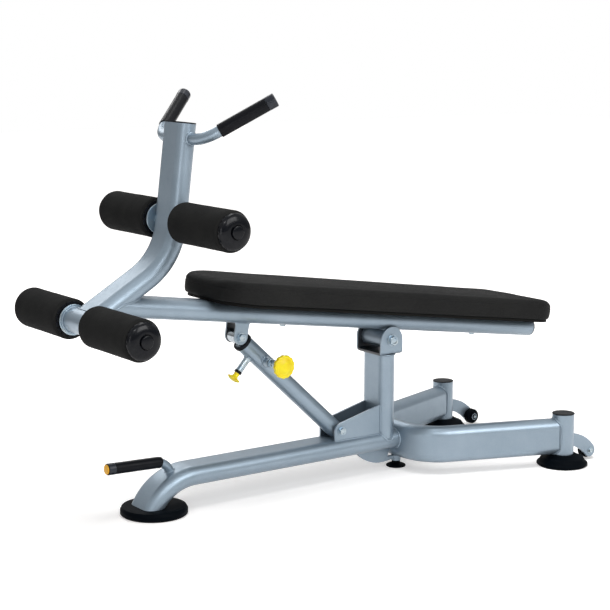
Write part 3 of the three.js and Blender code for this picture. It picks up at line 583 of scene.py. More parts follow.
class Route:
    """A bent tube's centre line: straight runs and round bends in one plane.
    Positive bends turn from the heading towards the side."""

    def __init__(self, start, heading, side):
        self.at = Vector(start)
        self.heading = Vector(heading).normalized()
        self.side = Vector(side).normalized()
        self.normal = self.heading.cross(self.side)
        self.stations = [(self.at.copy(), self.heading.copy())]

    def mark(self):
        self.stations.append((self.at.copy(), self.heading.copy()))

    def ahead(self, length, step=40):
        pieces = max(1, round(length / step))
        for _ in range(pieces):
            self.at += self.heading * (length / pieces)
            self.mark()
        return self

    def bend(self, degrees, radius, step=2.5):
        pieces = math.ceil(abs(degrees) / step)
        turn = Matrix.Rotation(math.radians(degrees) / pieces, 3, self.normal)
        reach = math.copysign(radius, degrees)
        centre = self.at + self.side * reach
        for _ in range(pieces):
            self.heading.rotate(turn)
            self.side.rotate(turn)
            self.at = centre - self.side * reach
            self.mark()
        return self

    def section(self, outline, index=0, size=1.0):
        """The outline at a station, its x along the normal of the route's plane."""
        point, tangent = self.stations[index]
        binormal = tangent.cross(self.normal)
        return [point + (self.normal * p.x + binormal * p.y) * size for p in outline]

    def swept(self, outline, sizes=None):
        """A body with this outline all along the route, scaled by a size for each station."""
        sizes = sizes or [1.0] * len(self.stations)
        return skin([self.section(outline, index, size) for index, size in enumerate(sizes)])


# ---------- objects ----------
def placed(name, data):
    """A new object in the scene for this mesh, lamp or camera."""
    made = bpy.data.objects.new(name, data)
    bpy.context.scene.collection.objects.link(made)
    return made


def mesh_of(name, form, place):
    mesh = bpy.data.meshes.new(name)
    mesh.from_pydata([place @ corner for corner in form.corners], [], form.faces)
    return mesh


def piece(name, form, place, body, slot, replaces=(), material=None, smooth=35, even=True):
    """An object for a form drawn in one of the part's frames, riding on a CAD body."""
    mesh = mesh_of(name, form, place)
    solid = bmesh.new()
    solid.from_mesh(mesh)
    bmesh.ops.recalc_face_normals(solid, faces=solid.faces)
    solid.to_mesh(mesh)
    solid.free()
    mesh.polygons.foreach_set("use_smooth", [True] * len(mesh.polygons))
    mesh.set_sharp_from_angle(angle=math.radians(smooth))
    mesh.materials.append(material or FINISHES[slot])
    made = placed(name, mesh)
    if even:
        made.modifiers.new("even_shading", "WEIGHTED_NORMAL").keep_sharp = True
    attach(made, body)
    if replaces:
        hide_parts(*replaces)
    return made


# ---------- frame tubes ----------
def spine_form():
    angle = math.radians(SPINE.angle)
    across, up = math.sin(angle), math.cos(angle)
    start = (SPINE.bend_x - SPINE.radius * across, 0, SPINE.z - SPINE.radius + SPINE.radius * up)
    route = Route(start, (up, 0, across), (-across, 0, up)).bend(-SPINE.angle, SPINE.radius)
    route.ahead(LEG.apex_x - TUBE.depth / 2 - SPINE.bend_x)
    return sliced(route.swept(flat_oval()), (0, 0, SPINE.foot_top), (0, 0, -1))


def leg_route():
    run = Vector((POST.x - LEG.apex_x, POST.y - LEG.corner_y))
    turn = math.degrees(math.atan2(run.x, run.y))
    tangent = LEG.radius * math.tan(math.radians(turn / 2))
    heading = Vector((-run.x, run.y, 0)).normalized()
    inside = POST.radius - 8
    start = Vector((POST.x, -POST.y, LEG.z)) + heading * inside
    straight = run.length - tangent - inside
    route = Route(start, heading, (heading.y, -heading.x, 0)).ahead(straight).bend(turn, LEG.radius)
    return route.ahead(2 * (LEG.corner_y - tangent), 20).bend(turn, LEG.radius).ahead(straight)


def column_route(skip=18):
    lower = COLUMN.corner - LOWER_ROLLER
    upper = COLUMN.top - COLUMN.corner
    turn = lower.angle(upper)
    tangent = COLUMN.radius * math.tan(turn / 2)
    heading = lower.normalized()
    route = Route(LOWER_ROLLER + heading * skip, heading, (-heading.z, 0, heading.x))
    route.ahead(lower.length - tangent - skip).bend(math.degrees(turn), COLUMN.radius)
    return route.ahead(upper.length - tangent)


def upright_route(bottom=SPINE.z + 10):
    return Route((UPRIGHT.x, 0, bottom), (0, 0, 1), (1, 0, 0))


def rail_route(front=RAIL.front):
    return Route((front, 0, RAIL.z), (1, 0, 0), (0, 0, 1))


def rail_form():
    """The seat rail, in its own frame, cut off inside the column."""
    rail = rail_route().ahead(RAIL.rear - RAIL.front).swept(flat_oval())
    to_rail = ON_RAIL.inverted() @ ON_FLOOR
    axis = (COLUMN.corner - LOWER_ROLLER).normalized()
    return sliced(rail, to_rail @ LOWER_ROLLER, to_rail.to_3x3() @ Vector((-axis.z, 0, axis.x)))


def handle_route():
    heading = Vector((0, -1, 0))
    turn = heading.angle(HANDLE.grip)
    tangent = HANDLE.radius * math.tan(turn / 2)
    elbow = HANDLE.start - HANDLE.grip * HANDLE.corner
    side = HANDLE.grip - heading * HANDLE.grip.dot(heading)
    route = Route((elbow.x, HANDLE.root_y, elbow.z), heading, side)
    route.ahead(HANDLE.root_y - elbow.y - tangent, 10).bend(math.degrees(turn), HANDLE.radius)
    return route.ahead(HANDLE.corner - tangent, 5).ahead(HANDLE.length - 4)


def carry_route():
    start = CARRY.start + Vector((3, 0, -0.1))
    route = Route(start, CARRY_HEADING, CARRY_SIDE).ahead(CARRY.straight)
    return route.bend(-CARRY.bend, CARRY.radius).ahead(CARRY.reach, 10)


SPINE_FORM = spine_form()
LEG_FORM = leg_route().swept(flat_oval())
COLUMN_FORM = column_route().swept(flat_oval())
UPRIGHT_FORM = upright_route().ahead(UPRIGHT.top - SPINE.z - 10).swept(flat_oval())

for tube_name, tube, tube_frame, tube_body, tube_node in (
    ("spine", SPINE_FORM, ON_FLOOR, "base", "spine_tube"),
    ("rear_legs", LEG_FORM, ON_FLOOR, "base", "rear_leg_tube"),
    ("upright", UPRIGHT_FORM, ON_FLOOR, "base", "upright_post"),
    ("column", COLUMN_FORM, ON_FLOOR, "bench", "column_tube"),
    ("rail", rail_form(), ON_RAIL, "bench", "seat_rail"),
    ("carry_handle", carry_route().swept(circle(CARRY.tube, 36)), ON_FLOOR, "base", "carry_handle_tube"),
):
    piece(tube_name, tube, tube_frame, tube_body, "frame_paint", [tube_node])


# ---------- leg-hold rollers ----------
def along_y(axis, sign):
    """A frame on a cross axis whose Z runs out from the column on that side."""
    return facing((0, sign, 0), (axis.x, 0, axis.z))


def foam_form():
    """A foam sleeve, its skin a little uneven and swollen next to the pressed ends."""
    start, end = ROLLER.inner + 3.3, ROLLER.outer
    radius, bore = ROLLER.radius, ROLLER.core + 0.3
    side = [Vector((radius, start + 7 + (end - start - 16) * k / 24)) for k in range(25)]
    inner = rounded([(bore, start), (radius, start, 6.5), side[0]])[:-1]
    outer = rounded([side[-1], (radius, end, 8.5), (bore, end)])[1:]

    def uneven(r, height, angle):
        if r < radius - 9:
            return r
        place = Vector((math.cos(angle) * 2.2, math.sin(angle) * 2.2, height / 34))
        swell = sum(math.exp(-(((height - ridge) / 9) ** 2)) for ridge in (start + 11, end - 13))
        return r + 0.42 * noise.noise(place) + 0.35 * swell - 0.5

    return turned(inner + side + outer + inner[:1], 96, uneven)


def dome_form():
    """The glossy end of a roller's core: rim, dome, groove and button."""
    face, rim = ROLLER.outer + 0.3, ROLLER.dome
    edge = [(0, face), (rim - 1.2, face), (rim, face + 1.0), (rim, face + 3.4)]
    angles = [k * math.pi / 32 for k in range(1, 15)]
    dome = [(17 + (rim - 17) * math.cos(a), face + 3.4 + 13.2 * math.sin(a)) for a in angles]
    groove = rounded([(18.4, face + 16.4), (17.6, face + 16.6, 0.5), (17.0, face + 13.5, 0.6),
                      (15.8, face + 13.5, 0.5), (15.5, face + 22, 2.6), (0, face + 24.2)])

    def notched(r, height, angle):
        if height > face + 4.2 or r < rim - 2:
            return r
        return r - 1.5 * max(0.0, math.cos(angle * 20)) ** 4

    return turned(edge + dome + groove, 200, notched)


def flange_form(bore=12.8):
    """The inner end of a roller's core, a disc with notches round its edge."""
    start, end, rim, core = ROLLER.inner, ROLLER.outer - 6, ROLLER.dome, ROLLER.core

    def notched(r, _, angle):
        return r - 4.5 * (math.cos(angle * 16) > 0.8) if r > rim - 2 else r

    disc = [(bore, start), (rim, start, 0.8), (rim, start + 3, 0.8), (core, start + 3)]
    return lathe(disc + [(core, end), (bore, end)], 192, notched)


def axle_form(core, bar=12.5, reach=267):
    """Axle bar, thicker through the column, drawn along Z."""
    wide = TUBE.width / 2 + 0.2
    return lathe(both_halves([(0, -reach), (bar, -reach, 1.0), (bar, -wide), (core, -wide, 0.6)]))


def stop_form(bore=12.7):
    """Plated stop disc between the column and a roller, its rim rolled."""
    wide = TUBE.width / 2
    rim = [(37.6, wide, 1.2), (37.6, wide + 5, 1.6), (34.5, wide + 5, 0.6), (33.5, wide + 4.2, 0.6)]
    return lathe([(bore, wide), *rim, (bore, wide + 4.2)], 96)


def make_rollers():
    foam, dome, flange, stop = foam_form(), dome_form(), flange_form(), stop_form()
    levels = {"upper": (UPPER_ROLLER, 16), "lower": (LOWER_ROLLER, 30)}  # axis, radius in the column
    for level, (axis, _) in levels.items():
        for side, sign in SIDES.items():
            place = ON_FLOOR @ along_y(axis, sign)
            body = f"{level}_roller_{side}"
            sleeve = piece(f"{level}_foam_{side}", foam, place, body, "roller_foam",
                           [f"{level}_roller_foam_{side}"], even=False)
            cap = piece(f"{level}_cap_{side}", dome, place, body, "black_plastic",
                        [f"{level}_roller_core_{side}"], GLOSS)
            hub = piece(f"{level}_hub_{side}", flange, place, body, "black_plastic")
            hub.parent = cap
    for level, (axis, core) in levels.items():
        place = ON_FLOOR @ along_y(axis, 1)
        piece(f"{level}_axle", axle_form(core), place, "bench", "frame_paint", [f"{level}_roller_axle"])
        for side, sign in SIDES.items():
            place = ON_FLOOR @ along_y(axis, sign)
            piece(f"{level}_stop_{side}", stop, place, "bench", "zinc_plate")


make_rollers()


# ---------- handles and grips ----------
def make_handles():
    """Bent bars with a rubber sleeve and a firm band, squarely cut, that closes its end."""
    radius, length, bore = HANDLE.sleeve, HANDLE.length, HANDLE.tube + 0.3
    sleeve_end = length - HANDLE.band - 0.4
    band_start, band_end = length - HANDLE.band, length + 4
    sleeve = [(bore, 0), (radius - 0.4, 0, 1.2), (radius - 0.4, sleeve_end, 0.4), (bore, sleeve_end)]
    band = [(0, band_start), (radius - 1, band_start), (radius, band_start + 1, 0.5),
            (radius, band_end, 1.8), (0, band_end)]
    place = facing(HANDLE.grip, HANDLE.start)
    bar = handle_route().swept(circle(HANDLE.tube, 40))
    for side, sign in SIDES.items():
        for name, form, slot, replaces, material in (
            ("handlebar", bar, "frame_paint", [f"top_handle_{side}"], None),
            ("handlebar_grip", lathe(sleeve).moved(place), "grip_rubber", [f"top_grip_{side}"], None),
            ("handlebar_band", lathe(band).moved(place), "black_plastic", [], SLATE),
        ):
            form = form if sign < 0 else mirrored(form)
            piece(f"{name}_{side}", form, ON_FLOOR, "bench", slot, replaces, material)


def make_carry_grip():
    """A sleeve that follows the bent handle, a band round its end and the plug that closes it."""
    seat = ((1.2, 13.3), (1.0, 13.5), (17, 13.5), (0.8, 13.5), (0.8, 14.2))  # lengths and radii
    route = Route(CARRY.start, CARRY_HEADING, CARRY_SIDE).ahead(0.01)
    radii = [12.6, 12.6]
    for length, radius in seat:
        route.ahead(length)
        radii.append(radius)
    rest = CARRY.straight + 3 - sum(length for length, _ in seat)
    route.ahead(rest, 12).bend(-16, CARRY.radius)
    radii += [CARRY.sleeve] * (len(route.stations) - len(radii) - 1) + [13.2]
    piece("carry_grip", route.swept(circle(1, 56), radii), ON_FLOOR, "base", "grip_rubber",
          ["carry_handle_grip"])
    band = lathe([(13.5, 0.6), (14.5, 0.6, 0.4), (14.5, 18.6, 0.4), (13.5, 18.6)], 56)
    band = band.moved(facing(CARRY_HEADING, CARRY.start))
    piece("carry_grip_band", band, ON_FLOOR, "base", "black_plastic", material=SLATE)
    plug = lathe([(0, -5), (8, -5), (8, 0), (12.2, 0.2, 0.6), (12.2, 2.6, 1.4), (0, 3.6)], 56)
    plug = plug.moved(facing(-CARRY_HEADING, CARRY.start - CARRY_HEADING * 0.4))
    piece("carry_plug", plug, ON_FLOOR, "base", "yellow_plastic", ["carry_handle_plug"], AMBER)


make_handles()
make_carry_grip()


# ---------- feet, posts and wheels ----------
def make_front_foot():
    outline = [(0, 0), (80, 0, 1.5), (84, 3, 2), (84, 13.4, 2.6), (80, 20.8, 3), (70, 22, 6), (0, 22)]
    piece("front_foot", lathe(outline, 120), ON_FLOOR, "base", "black_rubber", ["front_foot_pad"])


def make_rear_corner(side, sign):
    """A post on its cone-shaped foot, with a cap pressed into its top."""
    radius, bottom, top = POST.radius, POST.bottom, POST.top
    foot = [(0, 0), (66, 0, 1.5), (70, 3, 1.6), (69.4, 8, 2), (64, 12.5, 5), (58, 22, 8),
            (40, 29.5, 4), (38, 31.6, 0.8), (0, 31.6)]
    wall = [(radius - 3, bottom), (radius, bottom, 0.6), (radius, top, 0.6), (radius - 3, top)]
    cap = [(0, top - 11), (radius - 3.5, top - 11), (radius - 3.5, top + 0.2), (radius + 0.9, top + 0.3, 0.5),
           (radius + 0.9, top + 2.2, 1.4), (radius - 6, top + 3.2, 3), (0, top + 3.6)]
    for name, outline, count, slot, node in (
        ("cone_foot", foot, 112, "black_rubber", "rear_foot"),
        ("post", wall, 80, "frame_paint", "rear_post"),
        ("post_cap", cap, 80, "black_plastic", "rear_post_cap"),
    ):
        place = ON_FLOOR @ shift(POST.x, sign * POST.y)
        piece(f"{name}_{side}", lathe(outline, count), place, "base", slot, [f"{node}_{side}"])


def make_wheel(side, sign):
    """A grooved wheel, and the cap and nut on the inner end of its axle."""
    name = f"transport_wheel_{side}"
    centre = JOINTS[f"wheel_spin_{side}"]
    tread = [(6.4, -9), (13, -9, 0.5), (14, -7.4, 0.6), (18, -7.4, 0.6), (19, -9, 0.6), (20.4, -9, 1),
             (22, -6.5, 2.5)]
    place = frame_at(centre) @ facing((0, sign, 0))
    piece(f"wheel_{side}", lathe(both_halves(tread)), place, name, "black_rubber", [name])
    axle = on_floor(centre)
    end = ON_FLOOR @ facing((0, -sign, 0), (axle.x, sign * WHEEL_ARM.axle_end, axle.z))
    cap = lathe([(0, -0.4), (10.5, -0.4, 0.4), (10.5, 3.4, 1.4), (6, 4.5, 1), (0, 4.5)], 48)
    piece(f"wheel_cap_{side}", cap, end, "base", "black_plastic")
    piece(f"wheel_axle_nut_{side}", hexagon_head(7.5, 2.2), end @ shift(z=4.4), "base", "zinc_plate")


def make_levelling_foot(turns_seen=15):
    place = ON_FLOOR @ shift(LEVELLER_X)
    disc = lathe([(0, 0), (26, 0, 0.8), (27, 1.6, 0.5), (27, 4, 1.4), (22, 6.8, 3), (11, 10.2, 1), (0, 10.2)])
    disc += hexagon_head(20, 6).moved(shift(z=10.1))
    piece("levelling_disc", disc, place, "levelling_foot", "black_rubber", ["levelling_foot"])
    ridges = [((5.9, 15.5 + k), (5.2, 16.0 + k)) for k in range(turns_seen)]
    thread = [(0, 15), *(point for ridge in ridges for point in ridge), (0, 30.5)]
    piece("levelling_screw", lathe(thread, 32), place, "levelling_foot", "zinc_plate", smooth=60)


make_front_foot()
for side_name, side_sign in SIDES.items():
    make_rear_corner(side_name, side_sign)
    make_wheel(side_name, side_sign)
make_levelling_foot()


# ---------- strut ----------
def star_knob_form(lobes=13):
    """Lobed hand knob: a conical hub, a scalloped rim and a domed face."""
    outline = [(0, 58), (8, 58), (8, 77), (14, 78, 1.5), (16, 88, 3), (25, 91.5, 3), (29.9, 95, 2.2),
               (30.2, 104, 2.6), (23, 106.2, 1.2), (21.6, 105.8, 0.8), (20, 106.8, 1.2), (12, 110.4, 10),
               (0, 111.6)]

    def lobed(r, _, angle):
        reach = min(1.0, max(0.0, (r - 22) / 6))
        return r - reach * 1.5 * (0.5 - 0.5 * math.cos(angle * lobes)) ** 1.6

    return lathe(outline, 20 * lobes, lobed)


def ferrule_form():
    """Plated insert that the knob is moulded on: a hexagon, a groove and a collar."""
    collar = lathe([(8.3, 66), (10.6, 66, 0.8), (10.6, 71, 0.6), (9.6, 72, 0.4), (9.6, 74.5, 0.4),
                    (11.4, 75.5, 0.5), (11.4, 77.8), (8.3, 77.8)], 56)
    return collar + hexagon_head(17, 8, False).moved(shift(z=57.8))


def make_strut():
    """The strut's collar, the pop-pin hanging from it and the clamp on its near side."""
    bore, lip, flange = STRUT.inner + 0.3, STRUT.outer - 3.3, STRUT.outer + 2.3
    mouth = ON_STRUT @ facing((1, 0, 0), (STRUT.mouth, 0, 0))
    pin = ON_STRUT @ shift(STRUT.pin) @ DOWN
    clamp = ON_STRUT @ shift(STRUT.clamp) @ facing((0, -1, 0))
    collar = [(bore, -9, 0.8), (flange, -9, 2.2), (flange, -0.3, 0.6), (lip, -0.3), (lip, 18), (bore, 18)]
    housing = [(5.3, 18), (10.5, 18), (10.2, 24, 2), (9, 28, 3), (9, 62, 0.8), (5.3, 62)]
    bush = [(5.3, 62.3), (10.2, 62.3, 0.6), (10.2, 67.8, 1.2), (5.3, 67.8)]
    knob = [(0, 70), (5.2, 69), (7.6, 69, 0.8), (6.8, 75, 3), (8.6, 80.5, 3.5), (17.4, 84.2, 0.7),
            (17.4, 85.8, 0.8), (10, 89.6, 6), (0, 90.5)]
    socket = [(6.3, 17), (13, 17), (13, 41, 1.6), (6.3, 41)]
    screw = lathe([(0, 19.5), (4, 19.5), (5.9, 21.5), (5.9, 60), (0, 60)], 32)
    screw += headed(11.5, 5.9, 2.2, 18.5, 7).moved(shift(z=43.8))
    for name, form, place, body, slot, replaces in (
        ("guide_collar", lathe(collar, 80), mouth, "strut_outer", "black_plastic", ["strut_collar"]),
        ("pin_housing", lathe(housing, 56), pin, "strut_outer", "zinc_plate", ["pop_pin_housing"]),
        ("pin_bush", lathe(bush, 56), pin, "strut_outer", "black_plastic", ["pop_pin_bush"]),
        ("pull_knob", lathe(knob), pin, "pop_pin", "yellow_plastic", ["pop_pin_knob"]),
        ("clamp_socket", lathe(socket, 64), clamp, "strut_outer", "frame_paint", ["clamp_boss"]),
        ("clamp_screw_set", screw, clamp, "clamp_knob", "zinc_plate", ["clamp_screw"]),
        ("star_knob", star_knob_form(), clamp, "clamp_knob", "yellow_plastic", ["clamp_knob"]),
        ("knob_ferrule", ferrule_form(), clamp, "clamp_knob", "zinc_plate", []),
    ):
        piece(name, form, place, body, slot, replaces)


make_strut()


# ---------- bolts ----------
def cross_bolt(radius, half_grip):
    """Hexagon bolt along Y, with a washer and a head or nut at each end."""
    end = half_grip + 2
    form = lathe(both_halves([(0, -end), (radius, -end)]), 36).moved(facing((0, 1, 0)))
    head = headed(radius * 2.02, radius, 1.9, radius * 3.05, radius * 1.15)
    for sign in SIDES.values():
        form += head.moved(facing((0, sign, 0), (0, sign * (half_grip + 0.3), 0)))
    return form


def make_bolts():
    pivot = ON_FLOOR @ shift(*on_floor(JOINTS["bench_tilt"]))
    foot = ON_FLOOR @ shift(*on_floor(STRUT_FOOT))
    for name, form, place, body, node in (
        ("pivot_pin", cross_bolt(8, 54), pivot, "base", "pivot_bolt"),
        ("foot_pin", cross_bolt(6, 35), foot, "base", "strut_foot_bolt"),
        ("clevis_bolt", cross_bolt(6, 23.5), ON_STRUT, "bench", "clevis_pin"),
    ):
        piece(name, form, place, body, "zinc_plate", [node])
    screw = headed(10, 4, 1.6, 13, 5.2) + lathe([(0, -57), (3.4, -57), (4, -56.4), (4, 2), (0, 2)], 24)
    for end, x in PAD_BOLTS.items():
        place = ON_RAIL @ shift(x, 0, RAIL_UNDER - 0.3) @ DOWN
        piece(f"pad_screw_{end}", screw, place, "bench", "zinc_plate", [f"pad_bolt_{end}"])
    for side, sign in SIDES.items():
        axle = on_floor(JOINTS[f"wheel_spin_{side}"])
        place = ON_FLOOR @ facing((0, sign, 0), (axle.x, sign * WHEEL_ARM.face, axle.z))
        piece(f"wheel_bolt_{side}", headed(9, 4, 1.4, 12, 4.4), place, "base", "zinc_plate")


make_bolts()


# ---------- weld beads ----------
def resampled(points, step, closed):
    """The same line with a point about every step."""
    line = list(points) + ([points[0]] if closed else [])
    lengths = [0.0]
    for a, b in zip(line, line[1:]):
        lengths.append(lengths[-1] + (b - a).length)
    count = max(2, round(lengths[-1] / step))
    found = []
    index = 0
    for k in range(count if closed else count + 1):
        target = lengths[-1] * k / count
        while index < len(line) - 2 and lengths[index + 1] < target:
            index += 1
        span = max(lengths[index + 1] - lengths[index], 1e-9)
        found.append(line[index].lerp(line[index + 1], min(1, (target - lengths[index]) / span)))
    return found


def bead(points, radius, side=None, step=1.1, scallop=3.6):
    """A weld bead: overlapping scallops, as the torch left them, round a closed line. With a
    side that it shows towards, it runs along an open line and tapers at both ends."""
    line = resampled(points, step, not side)
    count = len(line)
    centre = sum(line, Vector()) / count
    rings = []
    for i, point in enumerate(line):
        ahead = line[min(i + 1, count - 1) if side else (i + 1) % count]
        behind = line[max(i - 1, 0) if side else i - 1]
        tangent = (ahead - behind).normalized()
        out = Vector(side) if side else point - centre
        out = (out - tangent * out.dot(tangent)).normalized()
        across = tangent.cross(out)
        ripple = 0.86 + 0.2 * abs(math.sin(i * step * math.pi / scallop))
        size = radius * (ripple + 0.12 * noise.noise(point * 0.08))
        if side:
            size *= min(1.0, 0.35 + 0.3 * min(i, count - 1 - i))
        rings.append([point + (out * math.cos(a) + across * math.sin(a)) * size for a in turns(8)])
    return skin(rings, joined=not side)


def bead_on(body, direction, points, radius, side=None):
    """A bead where lines that run from these points in one direction first meet a body."""
    hits = [body.ray_cast(point, Vector(direction).normalized())[0] for point in points]
    return bead([hit for hit in hits if hit is not None], radius, side)


def bar_at(radius, length, place):
    """A round bar from a frame's origin along its Z, to trace welds on."""
    return turned([(radius, 0), (radius, length)], 96).moved(place).tree()


def ring_at(radius, origin, axis):
    return [facing(axis, origin) @ p.to_3d() for p in circle(radius, 72)]


def oval_at(route):
    """A frame tube's outline, a little grown, at the start of a route."""
    return route.section(flat_oval(0.6, 5))


def line_between(start, end, count=40):
    return [Vector(start).lerp(Vector(end), k / count) for k in range(count + 1)]


def base_welds():
    spine, upright = SPINE_FORM.tree(), UPRIGHT_FORM.tree()
    form = bead_on(spine, (0, 0, -1), oval_at(upright_route(200)), 2.8)
    form += bead(oval_at(upright_route(UPRIGHT.top - 1.2)), 2.2)
    level = Route((700, 0, SPINE.z), (1, 0, 0), (0, 0, 1))
    form += bead_on(LEG_FORM.tree(), (1, 0, 0), oval_at(level), 3.0)
    point, heading = carry_route().stations[-1]
    form += bead_on(spine, heading, ring_at(CARRY.tube + 0.5, point - heading * 40, heading), 2.2)
    point, tangent = leg_route().stations[0]
    leg_end = oval_at(Route(point + tangent * 60, tangent, tangent.cross(Vector((0, 0, -1)))))
    for sign in SIDES.values():
        face = sign * 35.4
        foot = line_between((532, face, 220), (680, face, 220), 60)
        form += bead_on(spine, (0, 0, -1), foot, 2.2, (0, sign, 1))
        edge = line_between((640, face, 114), (640, face, 187))
        form += bead_on(upright, (1, 0, 0), edge, 2.2, (-1, sign, 0))
        post = bar_at(POST.radius, 200, shift(POST.x, sign * POST.y))
        outline = [Vector((p.x, -sign * p.y, p.z)) for p in leg_end]
        form += bead_on(post, (-tangent.x, sign * abs(tangent.y), 0), outline, 2.5)
        for y in (250, 258):
            arm = line_between((POST.x + 60, sign * y, 48), (POST.x + 60, sign * y, 82))
            form += bead_on(post, (-1, 0, 0), arm, 2.0, (1, 0, 0))
    return form


def column_welds():
    column = COLUMN_FORM.tree()
    root = handle_route().stations[0][0]
    handle = bead_on(column, (0, 1, 0), ring_at(HANDLE.tube + 0.5, (root.x, -90, root.z), (0, 1, 0)), 3.3)
    axle = bar_at(30, 100, along_y(LOWER_ROLLER, 1) @ shift(z=-50))
    route = column_route(60)
    form = handle + mirrored(handle) + bead_on(axle, -route.stations[0][1], oval_at(route), 2.4)
    to_floor = ON_FLOOR.inverted() @ ON_RAIL
    outline = [to_floor @ point for point in oval_at(rail_route(-560))]
    form += bead_on(column, to_floor.to_3x3() @ Vector((-1, 0, 0)), outline, 2.8)
    for sign in SIDES.values():
        form += bead(ring_at(31, (LOWER_ROLLER.x, sign * 49.4, LOWER_ROLLER.z), (0, 1, 0)), 2.2)
    return form


def rail_welds():
    clevis = ON_RAIL.inverted() @ STRUT_TOP
    form = Form()
    for sign in SIDES.values():
        for face in (17.2, 24):
            y = sign * face
            line = line_between((clevis.x - 20, y, RAIL_UNDER), (clevis.x + 20, y, RAIL_UNDER))
            form += bead(line, 1.9, (0, sign, -1))
        low = RAIL_UNDER - 0.6
        form += bead(line_between((sign * 9, -45, low), (sign * 9, 45, low)), 2.4, (sign, 0, -1))
    return form


def strut_welds():
    tube = bar_at(STRUT.outer, 300, facing((1, 0, 0)))
    pin = bead_on(tube, (0, 0, 1), ring_at(10.4, (STRUT.pin, 0, -60), (0, 0, 1)), 1.9)
    return pin + bead_on(tube, (0, 1, 0), ring_at(13.4, (STRUT.clamp, -60, 0), (0, 1, 0)), 2.2)


for weld_name, weld, weld_frame, weld_body in (
    ("welds_base", base_welds(), ON_FLOOR, "base"),
    ("welds_column", column_welds(), ON_FLOOR, "bench"),
    ("welds_rail", rail_welds(), ON_RAIL, "bench"),
    ("welds_strut", strut_welds(), ON_STRUT, "strut_outer"),
):
    piece(weld_name, weld, weld_frame, weld_body, "frame_paint", even=False, smooth=80)


# ---------- pad ----------
def pad_plan(spacing=7.0):
    """The pad's outline and its outward normals, evenly spaced and the same on both sides."""
    line = [Vector((PAD.rear, 0, 0))]
    for centre, start in (
        ((PAD.rear - PAD.corner, PAD.rear_half - PAD.corner), 0),
        ((PAD.front + PAD.corner, PAD.front_half - PAD.corner), 90),
    ):
        line += [p.to_3d() for p in arc(centre, PAD.corner, start, start + 90, 1.5)]
    line.append(Vector((PAD.front, 0, 0)))
    half = resampled(line, spacing, False)
    points = half + [Vector((p.x, -p.y, 0)) for p in reversed(half[1:-1])]
    normals = []
    for before, after in zip(points[-1:] + points, points[1:] + points[:1]):
        along = (after - before).normalized()
        normals.append(Vector((along.y, -along.x, 0)))
    return np.array(points), np.array(normals)


def pad_rings(points, normals, slack=0.2):
    """Rings from the middle of the underside, up the sides and in to the middle of the top."""
    x, bottom = points[:, 0], PAD.bottom
    top = bottom + PAD.thick - 3.5
    ridge = np.stack([np.clip(x, PAD.front + 128, PAD.rear - 118), 0 * x, 0 * x], axis=1)
    ease = np.clip((x - (PAD.rear - 95)) / 90, 0, 1)
    ease = ease * ease * (3 - 2 * ease)
    nose = np.clip((PAD.front + 100 - x) / 95, 0, 1)
    shoulder = 14 + 7 * ease + 6 * nose  # radius of the top edge, larger round both ends
    crest = top - 2.6 * ease - 0.8 * nose

    def level(inset_by, height):
        ring = points - normals * np.reshape(inset_by, (-1, 1))
        ring[:, 2] = height
        return ring

    def inwards(ring, share, height):
        moved = ring * (1 - share) + ridge * share
        moved[:, 2] = height
        return moved

    under = level(40.0, bottom)
    rings = [inwards(under, share, bottom) for share in (0.985, 0.7, 0.35)]
    rings += [level(inset_by, bottom) for inset_by in (40.0, 20.0, 9.0)]
    rings.append(level(slack + 5.0, bottom + 0.6))
    for climb in np.linspace(0, 1, 9):
        tuck = 3.2 * (1 - climb) ** 4  # the side turns in under its hem
        rings.append(level(slack + tuck, bottom + 3.0 + (crest - shoulder - bottom - 3.0) * climb))
    for a in map(math.radians, (18, 36, 54, 72, 90)):
        rings.append(level(slack + shoulder * (1 - math.cos(a)), crest - shoulder + shoulder * math.sin(a)))
    edge = rings[-1]
    for share in (0.06, 0.13, 0.21, 0.3, 0.4, 0.5, 0.6, 0.7, 0.8, 0.9, 0.985):
        rings.append(inwards(edge, share, edge[:, 2] * (1 - share) + (top + 1.5) * share))
    return np.array(rings)


def cover_form(rings):
    """The cover through its rings, its two ends closed by strips across the middle."""
    form = skin([[Vector(point) for point in ring] for ring in rings])
    ends = [face for face in form.faces if len(face) > 4]
    form.faces = [face for face in form.faces if len(face) == 4]
    for end in ends:
        low, count = min(end), len(end)
        for i in range(count // 2):
            quad = [low + i, low + i + 1, low + (count - i - 1), low + (count - i) % count]
            face = tuple(dict.fromkeys(quad))
            form.faces.append(tuple(reversed(face)) if end[0] > end[1] else face)
    return form


def even_cover(rings, size=0.009):
    """The cover as an even mesh in metres, level, for the simulation."""
    drawn = placed("cover_drawn", mesh_of("cover_drawn", cover_form(rings), Matrix.Scale(MM, 4)))
    remesh = drawn.modifiers.new("even", "REMESH")
    remesh.mode = "VOXEL"
    remesh.voxel_size = size
    shaped = drawn.evaluated_get(bpy.context.evaluated_depsgraph_get())
    even = bpy.data.meshes.new_from_object(shaped)
    bpy.data.objects.remove(drawn)
    return even


CLOTH = {"quality": 5, "mass": 0.3, "tension_stiffness": 30, "compression_stiffness": 30,
         "shear_stiffness": 15, "bending_stiffness": 1.5, "vertex_group_mass": "held",
         "use_pressure": True, "uniform_pressure_force": 4}
CLOTH_FRAMES = 20


